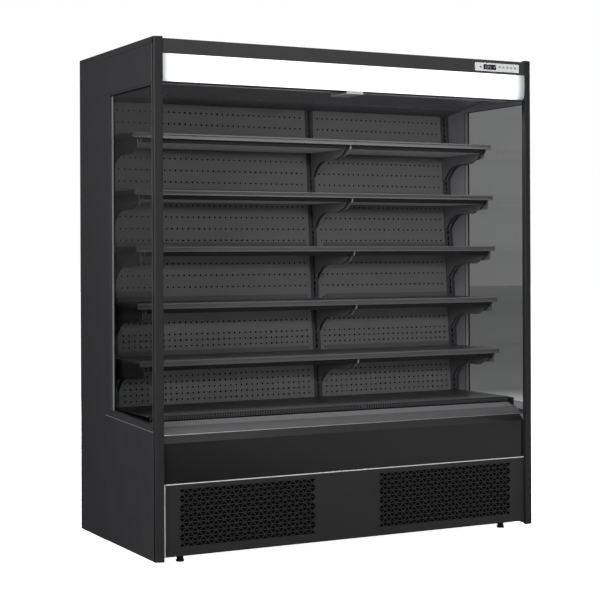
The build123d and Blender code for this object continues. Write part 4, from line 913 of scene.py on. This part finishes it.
class FRIDGE_OT_return_grille(bpy.types.Operator):
    """Makes the perforated strip that takes the air back behind the bumper"""
    bl_idname = "fridge.return_grille"
    bl_label = "Return Grille"

    PITCH = 0.011
    HOLE = 0.0058
    CLEAR = 0.002               # strip's rear edge to the lip of the deck pans
    RISE = 0.016                # strip's rear edge above its seat
    STEP = 0.0165               # flat front of the strip
    MARGINS = (0.006, 0.003)    # strip's ends, and its long edges, to the first cell of holes
    LIP_ROWS = [0.0046, 0.0127]         # heights of the two rows of holes in a pan's lip
    LIP_HOLE = 0.0072
    LIP_SHEET = 0.0008
    LIP_FRONT = 0.0014          # lip before the pan
    LIP_FOOT = 0.0035           # lip above the pan's underside
    LIP_TOP = 0.002             # and below its top
    SHADE = 0.0003              # thickness of the dark sheet behind the lip

    def execute(self, context):
        low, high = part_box("return_grille")
        seat, rear = high[2] - self.RISE, high[1] - self.CLEAR
        step = low[1] + self.STEP
        slope = atan2(high[2] - seat - SHEET, rear - step)
        length, width = (rear - step) / cos(slope), high[0] - low[0]
        ends, sides = self.MARGINS
        points, faces = perforated_sheet(
            width, length, spread(ends, width - ends, self.PITCH),
            spread(sides, length - sides, self.PITCH), self.HOLE / 2, SHEET)
        parts = [
            (tilted(points, (low[0], step, seat + SHEET), slope, -1), faces),
            box_points((low[0], low[1], seat), (high[0], step, seat + SHEET)),
            box_points((low[0], rear - SHEET, low[2]), (high[0], rear, high[2] - SHEET / 2))]
        piece = mesh_piece(
            "return_air_strip", parts, "wall_powder_coat", "return_grille")
        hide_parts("return_grille")
        for bay in SIGNS:
            self.deck_lip(f"deck_pan_{bay}", bay)
        return {"FINISHED"}

    def deck_lip(self, pan, bay):
        """The deck pan's front lip has two rows of holes for the air that goes back."""
        low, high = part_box(pan)
        width = high[0] - low[0]
        height = high[2] - low[2] - self.LIP_FOOT - self.LIP_TOP
        ends = self.MARGINS[0]
        points, faces = perforated_sheet(
            width, height, spread(ends, width - ends, self.PITCH), self.LIP_ROWS,
            self.LIP_HOLE / 2, self.LIP_SHEET)
        placed = [(low[0] + x, low[1] - self.LIP_FRONT + y, low[2] + self.LIP_FOOT + z)
                  for x, y, z in points]
        mesh_piece(
            f"deck_lip_{bay}", [(placed, faces)], "upright_powder_coat", pan)
        backing = box_points((low[0], low[1] - self.SHADE, low[2]),
                             (high[0], low[1], high[2] - self.LIP_TOP))
        mesh_piece(f"deck_lip_shade_{bay}", [backing], "duct_inside_paint", pan)


class FRIDGE_OT_glazing(bpy.types.Operator):
    """Adds the seals and the spacer strips of the side windows"""
    bl_idname = "fridge.glazing"
    bl_label = "Glazing"

    SPACER = 0.021              # width of the strip down the rear of the glass
    SPACER_PROUD = 0.0012       # of the glass
    SEAL = 0.003                # width of the seal round the glass
    SEAL_DEPTHS = (0.0003, 0.0016)      # of the seal's two sides, out from the glass
    FRONT_SEAL = 0.002          # width of the seal before the spacer
    MARGIN = 0.005              # glass's edge to the seal
    FOOT = 0.02                 # glass's lower edge to the strips' feet
    SILL_INSET = 0.001          # sill strip's ends to the frame's
    SILL = 0.0026               # its height
    SILL_SIDES = (-0.003, 0.00004)      # its two sides, out from the frame's

    def execute(self, context):
        for side, sign in SIGNS.items():
            low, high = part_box(f"side_glass_{side}")
            inner, outer = sorted((abs(low[0]), abs(high[0])))
            rear, top = high[1] - self.MARGIN, high[2] - self.MARGIN
            foot, back, head = low[2] + self.FOOT, rear - self.SEAL, top - self.SEAL
            front = back - self.SPACER
            strips, seals = [], []
            for face, out in ((outer, 1), (inner, -1)):
                x0, x1 = sorted((sign * face, sign * (face + out * self.SPACER_PROUD)))
                strips.append(box_points((x0, front, foot), (x1, back, head)))
                x0, x1 = sorted(sign * (face + out * depth) for depth in self.SEAL_DEPTHS)
                seals.append(box_points((x0, back, foot), (x1, rear, top)))
                seals.append(box_points((x0, low[1] + self.MARGIN, head), (x1, back, top)))
                seals.append(box_points((x0, front - self.FRONT_SEAL, foot), (x1, front, head)))
            # The spacer strips' pale matte coat is partly their pale metal, partly a painted
            # reflection.
            mesh_piece(
                f"glass_spacer_{side}", strips, "spacer_powder_coat", CABINET)
            mesh_piece(f"glass_seal_{side}", seals, "black_rubber", CABINET)
            low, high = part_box(f"window_frame_{side}")
            front, back = low[1] + self.SILL_INSET, high[1] - self.SILL_INSET
            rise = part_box(f"end_lower_panel_{side}")[1][2]
            section = [(front, low[2]), (back, rise), (back, rise + self.SILL),
                       (front, low[2] + self.SILL)]
            wall = max(abs(low[0]), abs(high[0]))
            x0, x1 = sorted(sign * (wall + out) for out in self.SILL_SIDES)
            mesh_piece(f"sill_edge_{side}", [prism_x(section, x0, x1)], "spacer_powder_coat",
                       CABINET)
        return {"FINISHED"}


class FRIDGE_OT_controls(bpy.types.Operator):
    """Adds the digits, the lamp and the marks on the keys"""
    bl_idname = "fridge.controls"
    bl_label = "Controls"

    # bars of a seven-segment digit: a top, b c right, d foot, e f left, g middle
    SEGMENTS = {"2": "abged", "0": "abcdef", "C": "adef"}
    DIGIT = (0.0068, 0.0098, 0.0012)    # width, height and stroke
    DIGIT_PITCH = 0.012
    PROUD = 0.0002              # of the plate's face
    SUNK = 0.0013               # behind it
    SHIFT = 0.00002             # between the bars that cross, so that no faces coincide
    # X from the plate's end and Z from its middle
    DIGITS_AT = (0.051, -0.005)
    # the point, and the two strokes of the cross: low and high corner, and shift
    BARS = (
        ((0.0604, -0.006), (0.0618, -0.0046), 0.0),
        ((0.094, -0.001), (0.101, 0.001), 0.0),
        ((0.0965, -0.0035), (0.0985, 0.0035), 0.0001))
    LAMP = (0.0275, -0.001, 0.0038, 0.0008)     # X, Z, radius and depth
    # the curved stroke on a key
    STEPS = 8
    RADII = (0.0042, 0.0021)
    OPENING = 65                # degrees that it reaches up and down
    MARK_SHIFT = 0.0018         # its centre, left of the key's
    MARK_SIDES = (-0.00015, 0.0002)     # front and back, from the key's face

    def execute(self, context):
        low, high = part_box("control_panel")
        left, face, middle = low[0], low[1], (low[2] + high[2]) / 2
        bars = []
        for i, mark in enumerate("20C"):
            x, z = left + self.DIGITS_AT[0] + i * self.DIGIT_PITCH, middle + self.DIGITS_AT[1]
            bars += self.digit(x, z, face, mark)
        for (x0, z0), (x1, z1), shift in self.BARS:
            bars.append(box_points(
                (left + x0, face - self.PROUD - shift, middle + z0),
                (left + x1, face + self.SUNK - shift, middle + z1)))
        mesh_piece("display_digits", bars, "segment_abs", CABINET)
        x, z, radius, depth = self.LAMP
        lamp = disc_points((left + x, face, middle + z), radius, depth, (0, -1, 0))
        mesh_piece("status_lamp", [lamp], "mark_abs", CABINET, smooth=True)
        for i in LEVELS:
            name = f"control_key_{i}"
            low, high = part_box(name)
            centre = ((low[0] + high[0]) / 2, low[1], (low[2] + high[2]) / 2)
            mesh_piece(
                f"key_mark_{i}", [self.crescent(centre)], "mark_abs", name)
        return {"FINISHED"}

    def digit(self, x, z, y, mark):
        """The bars of one digit, whose lower left corner is at X and Z."""
        w, h, t = self.DIGIT
        at = {
            "a": (0, h - t, w, h), "g": (0, h / 2 - t / 2, w, h / 2 + t / 2), "d": (0, 0, w, t),
            "f": (0, h / 2, t, h), "e": (0, 0, t, h / 2), "b": (w - t, h / 2, w, h),
            "c": (w - t, 0, w, h / 2)}
        made = []
        for k, name in enumerate(self.SEGMENTS[mark]):
            a, b, c, d = at[name]
            front = y - self.PROUD - k * self.SHIFT
            made.append(box_points((x + a, front, z + b), (x + c, y + self.SUNK, z + d)))
        return made

    def crescent(self, centre):
        """A curved stroke, open to the left, pressed into the face of a key."""
        points, faces = [], []
        for i in range(self.STEPS + 1):
            turn = radians(self.OPENING * (2 * i / self.STEPS - 1))
            for reach in self.RADII:
                x = centre[0] - self.MARK_SHIFT + reach * cos(turn)
                z = centre[2] + reach * sin(turn)
                points += [(x, centre[1] + side, z) for side in self.MARK_SIDES]
        for i in range(self.STEPS):
            a, b = 4 * i, 4 * i + 4
            faces += [(a, b, b + 2, a + 2), (a + 1, a + 3, b + 3, b + 1), (a, a + 1, b + 1, b),
                      (a + 2, b + 2, b + 3, a + 3)]
        end = 4 * self.STEPS
        return points, faces + [(0, 2, 3, 1), (end, end + 1, end + 3, end + 2)]


class FRIDGE_OT_blind(bpy.types.Operator):
    """Makes the night blind's cloth"""
    bl_idname = "fridge.blind"
    bl_label = "Night Blind"

    COLUMNS = 60
    ROWS = 6
    RIPPLE = (0.0002, 0.9)      # height, and radians from one column to the next

    def execute(self, context):
        low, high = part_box("blind_curtain")
        y = (low[1] + high[1]) / 2
        height, turn = self.RIPPLE
        points, faces = [], []
        for r in range(self.ROWS + 1):
            z = low[2] + (high[2] - low[2]) * r / self.ROWS
            for c in range(self.COLUMNS + 1):
                x = low[0] + (high[0] - low[0]) * c / self.COLUMNS
                points.append((x, y + height * sin(c * turn), z))
        for r in range(self.ROWS):
            for c in range(self.COLUMNS):
                a = r * (self.COLUMNS + 1) + c
                faces.append((a, a + 1, a + self.COLUMNS + 2, a + self.COLUMNS + 1))
        piece = mesh_piece(
            "blind_cloth", [(points, faces)], "blind_cloth", None, smooth=True)
        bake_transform(piece)
        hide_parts("blind_curtain")
        return {"FINISHED"}


class FRIDGE_OT_fasteners(bpy.types.Operator):
    """Adds the screws round the rear wall"""
    bl_idname = "fridge.fasteners"
    bl_label = "Screws"

    EDGE = 0.02                 # wall's edge to a row of screws
    CORNER = 0.1                # wall's end to where the upper and lower rows start
    PITCHES = (0.2, 0.25)       # up the sides, and along the top and foot
    HEAD = 0.002                # height of a head
    PROUD = 0.00004             # of the wall's face
    DISH = 0.0008

    def execute(self, context):
        radius = context.scene.fridge_sizes.screw_diameter / 2
        low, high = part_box("rear_wall")
        sides, levels = [(low[i] + self.EDGE, high[i] - self.EDGE) for i in (0, 2)]
        upright, level = self.PITCHES
        places = [(x, z) for x in sides for z in spread(*levels, upright)]
        across = spread(low[0] + self.CORNER, high[0] - self.CORNER, level)
        places += [(x, z) for x in across for z in levels]
        y = high[1] - self.HEAD + self.PROUD
        heads = [disc_points((x, y, z), radius, self.HEAD, (0, 1, 0), dish=self.DISH)
                 for x, z in places]
        mesh_piece(
            "rear_screws", heads, "galvanised_steel", CABINET, smooth=True)
        return {"FINISHED"}


class FRIDGE_OT_stage(bpy.types.Operator):
    """Sets the floor, the soft lights and the camera"""
    bl_idname = "fridge.stage"
    bl_label = "Stage"

    # name: place, target, width and height, watts, whether it is reflected, spread in degrees
    LIGHTS = {
        "left_softbox": ((-4.6, -3.0, 2.1), (0, 0.2, 0.8), (2.4, 2.4), 262, True, 180),
        "key_light": ((0.6, -5.3, 1.95), (0, 0, 1.0), (0.5, 0.5), 165, False, 180),
        "front_fill": ((-0.6, -6.8, 1.5), (0, 0, 1.1), (6.0, 2.6), 55, False, 180),
        "low_fill": ((0, -2.4, 0.12), (0, 0, 1.6), (3.0, 0.5), 26, False, 180),
        "top_softbox": ((0.2, -2.2, 4.2), (0, 0, 1.2), (3.2, 2.0), 50, True, 180),
        "rear_softbox": ((1.6, 5.2, 2.6), (0, 0.3, 1.0), (3.6, 2.4), 300, True, 180),
        "right_softbox": ((4.7, 1.8, 2.4), (0.5, 0.2, 1.0), (2.4, 2.4), 110, True, 180),
        "canopy_lamp": ((0, -0.34, 1.812), (0, -0.34, 1.0), (1.62, 0.03), 18, False, 150),
    }
    FLOOR = 40.0                # half its side
    SENSOR = 36.0
    LENS = 90.84
    SHIFT = -0.0758
    CAMERA = (-3.02835, -5.71326, 1.17414)
    TURN = -27.65               # degrees round the vertical
    ROLL = -0.22

    def execute(self, context):
        scene = context.scene
        scene.view_settings.view_transform = "Standard"
        self.floor()
        self.world(scene)
        for name, light in self.LIGHTS.items():
            self.area(scene, name, *light)
        self.camera(scene)
        return {"FINISHED"}

    def floor(self):
        """A wide flat floor, far larger than what the camera sees."""
        half = self.FLOOR
        points = [(-half, -half, 0), (half, -half, 0), (half, half, 0), (-half, half, 0)]
        floor = mesh_piece("studio_floor", [(points, [(0, 1, 2, 3)])], "seamless_paper", None)

    def world(self, scene):
        """White to the camera; for light and reflections a room, brighter above and right."""
        world = bpy.data.worlds.new("studio")
        scene.world = world
        world.use_nodes = True
        tree = world.node_tree
        tree.nodes.clear()
        place = add_node(tree, "TexCoord")
        parts = add_node(tree, "SeparateXYZ", {"Vector": place.outputs["Generated"]})
        up = add_node(tree, "MapRange", {
            "Value": parts.outputs["Z"], "From Min": -0.1, "From Max": 0.8,
            "To Min": 0.4, "To Max": 1.0})
        right = add_node(tree, "MapRange", {
            "Value": parts.outputs["X"], "From Min": -0.2, "From Max": 0.7,
            "To Min": 0.12, "To Max": 0.48})
        level = add_node(tree, "Math", {0: up.outputs[0], 1: right.outputs[0]},
                         operation="MULTIPLY")
        white = linear("#FFFFFF")
        room = add_node(tree, "Background", {"Color": white, "Strength": level.outputs[0]})
        seen = add_node(tree, "Background", {"Color": white, "Strength": 1.0})
        rays = add_node(tree, "LightPath")
        mix = add_node(tree, "MixShader", {
            0: rays.outputs["Is Camera Ray"], 1: room.outputs[0], 2: seen.outputs[0]})
        add_node(tree, "OutputWorld", {"Surface": mix.outputs[0]})

    def area(self, scene, name, place, target, size, power, reflected, spread_angle):
        """A soft rectangular light, which the camera and the glass never show."""
        data = bpy.data.lights.new(name, "AREA")
        data.shape = "RECTANGLE"
        data.size, data.size_y = size
        data.energy = power
        data.spread = radians(spread_angle)
        lamp = bpy.data.objects.new(name, data)
        scene.collection.objects.link(lamp)
        lamp.location = place
        aim = Vector(target) - Vector(place)
        lamp.rotation_euler = aim.to_track_quat("-Z", "Y").to_euler()
        lamp.visible_glossy = reflected
        lamp.visible_camera = False
        lamp.visible_transmission = False

    def camera(self, scene):
        """The camera that was fitted to the photograph."""
        data = bpy.data.cameras.new("camera")
        data.sensor_width = self.SENSOR
        data.lens = self.LENS
        data.shift_y = self.SHIFT
        camera = bpy.data.objects.new("camera", data)
        scene.collection.objects.link(camera)
        camera.matrix_world = (
            Matrix.Translation(self.CAMERA)
            @ (Matrix.Rotation(radians(self.TURN), 4, "Z") @ Matrix.Rotation(radians(90), 4, "X"))
            @ Matrix.Rotation(radians(self.ROLL), 4, "Z"))
        scene.camera = camera


class FRIDGE_PT_panel(bpy.types.Panel):
    """Lists the fridge's settings and pieces"""
    bl_idname = "FRIDGE_PT_panel"
    bl_label = "Display Fridge"
    bl_space_type = "VIEW_3D"
    bl_region_type = "UI"
    bl_category = "Fridge"

    def draw(self, context):
        for group in (context.scene.fridge_sizes, context.scene.fridge_colours):
            for name in group.__annotations__:
                self.layout.prop(group, name)
        for operator in OPERATORS:
            self.layout.operator(operator.bl_idname)


OPERATORS = (
    FRIDGE_OT_finishes, FRIDGE_OT_perforated_wall, FRIDGE_OT_uprights, FRIDGE_OT_brackets,
    FRIDGE_OT_shelf_pans, FRIDGE_OT_kick_grille, FRIDGE_OT_ceiling, FRIDGE_OT_return_grille,
    FRIDGE_OT_glazing, FRIDGE_OT_controls, FRIDGE_OT_blind, FRIDGE_OT_fasteners, FRIDGE_OT_stage,
)
CLASSES = (FridgeSizes, FridgeColours, *OPERATORS, FRIDGE_PT_panel)


def register():
    for cls in CLASSES:
        bpy.utils.register_class(cls)
    bpy.types.Scene.fridge_sizes = bpy.props.PointerProperty(type=FridgeSizes)
    bpy.types.Scene.fridge_colours = bpy.props.PointerProperty(type=FridgeColours)


def unregister():
    del bpy.types.Scene.fridge_colours
    del bpy.types.Scene.fridge_sizes
    for cls in reversed(CLASSES):
        bpy.utils.unregister_class(cls)


def main():
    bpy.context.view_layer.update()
    register()
    for operator in OPERATORS:
        group, name = operator.bl_idname.split(".")
        getattr(getattr(bpy.ops, group), name)()


if __name__ == "__main__":
    main()
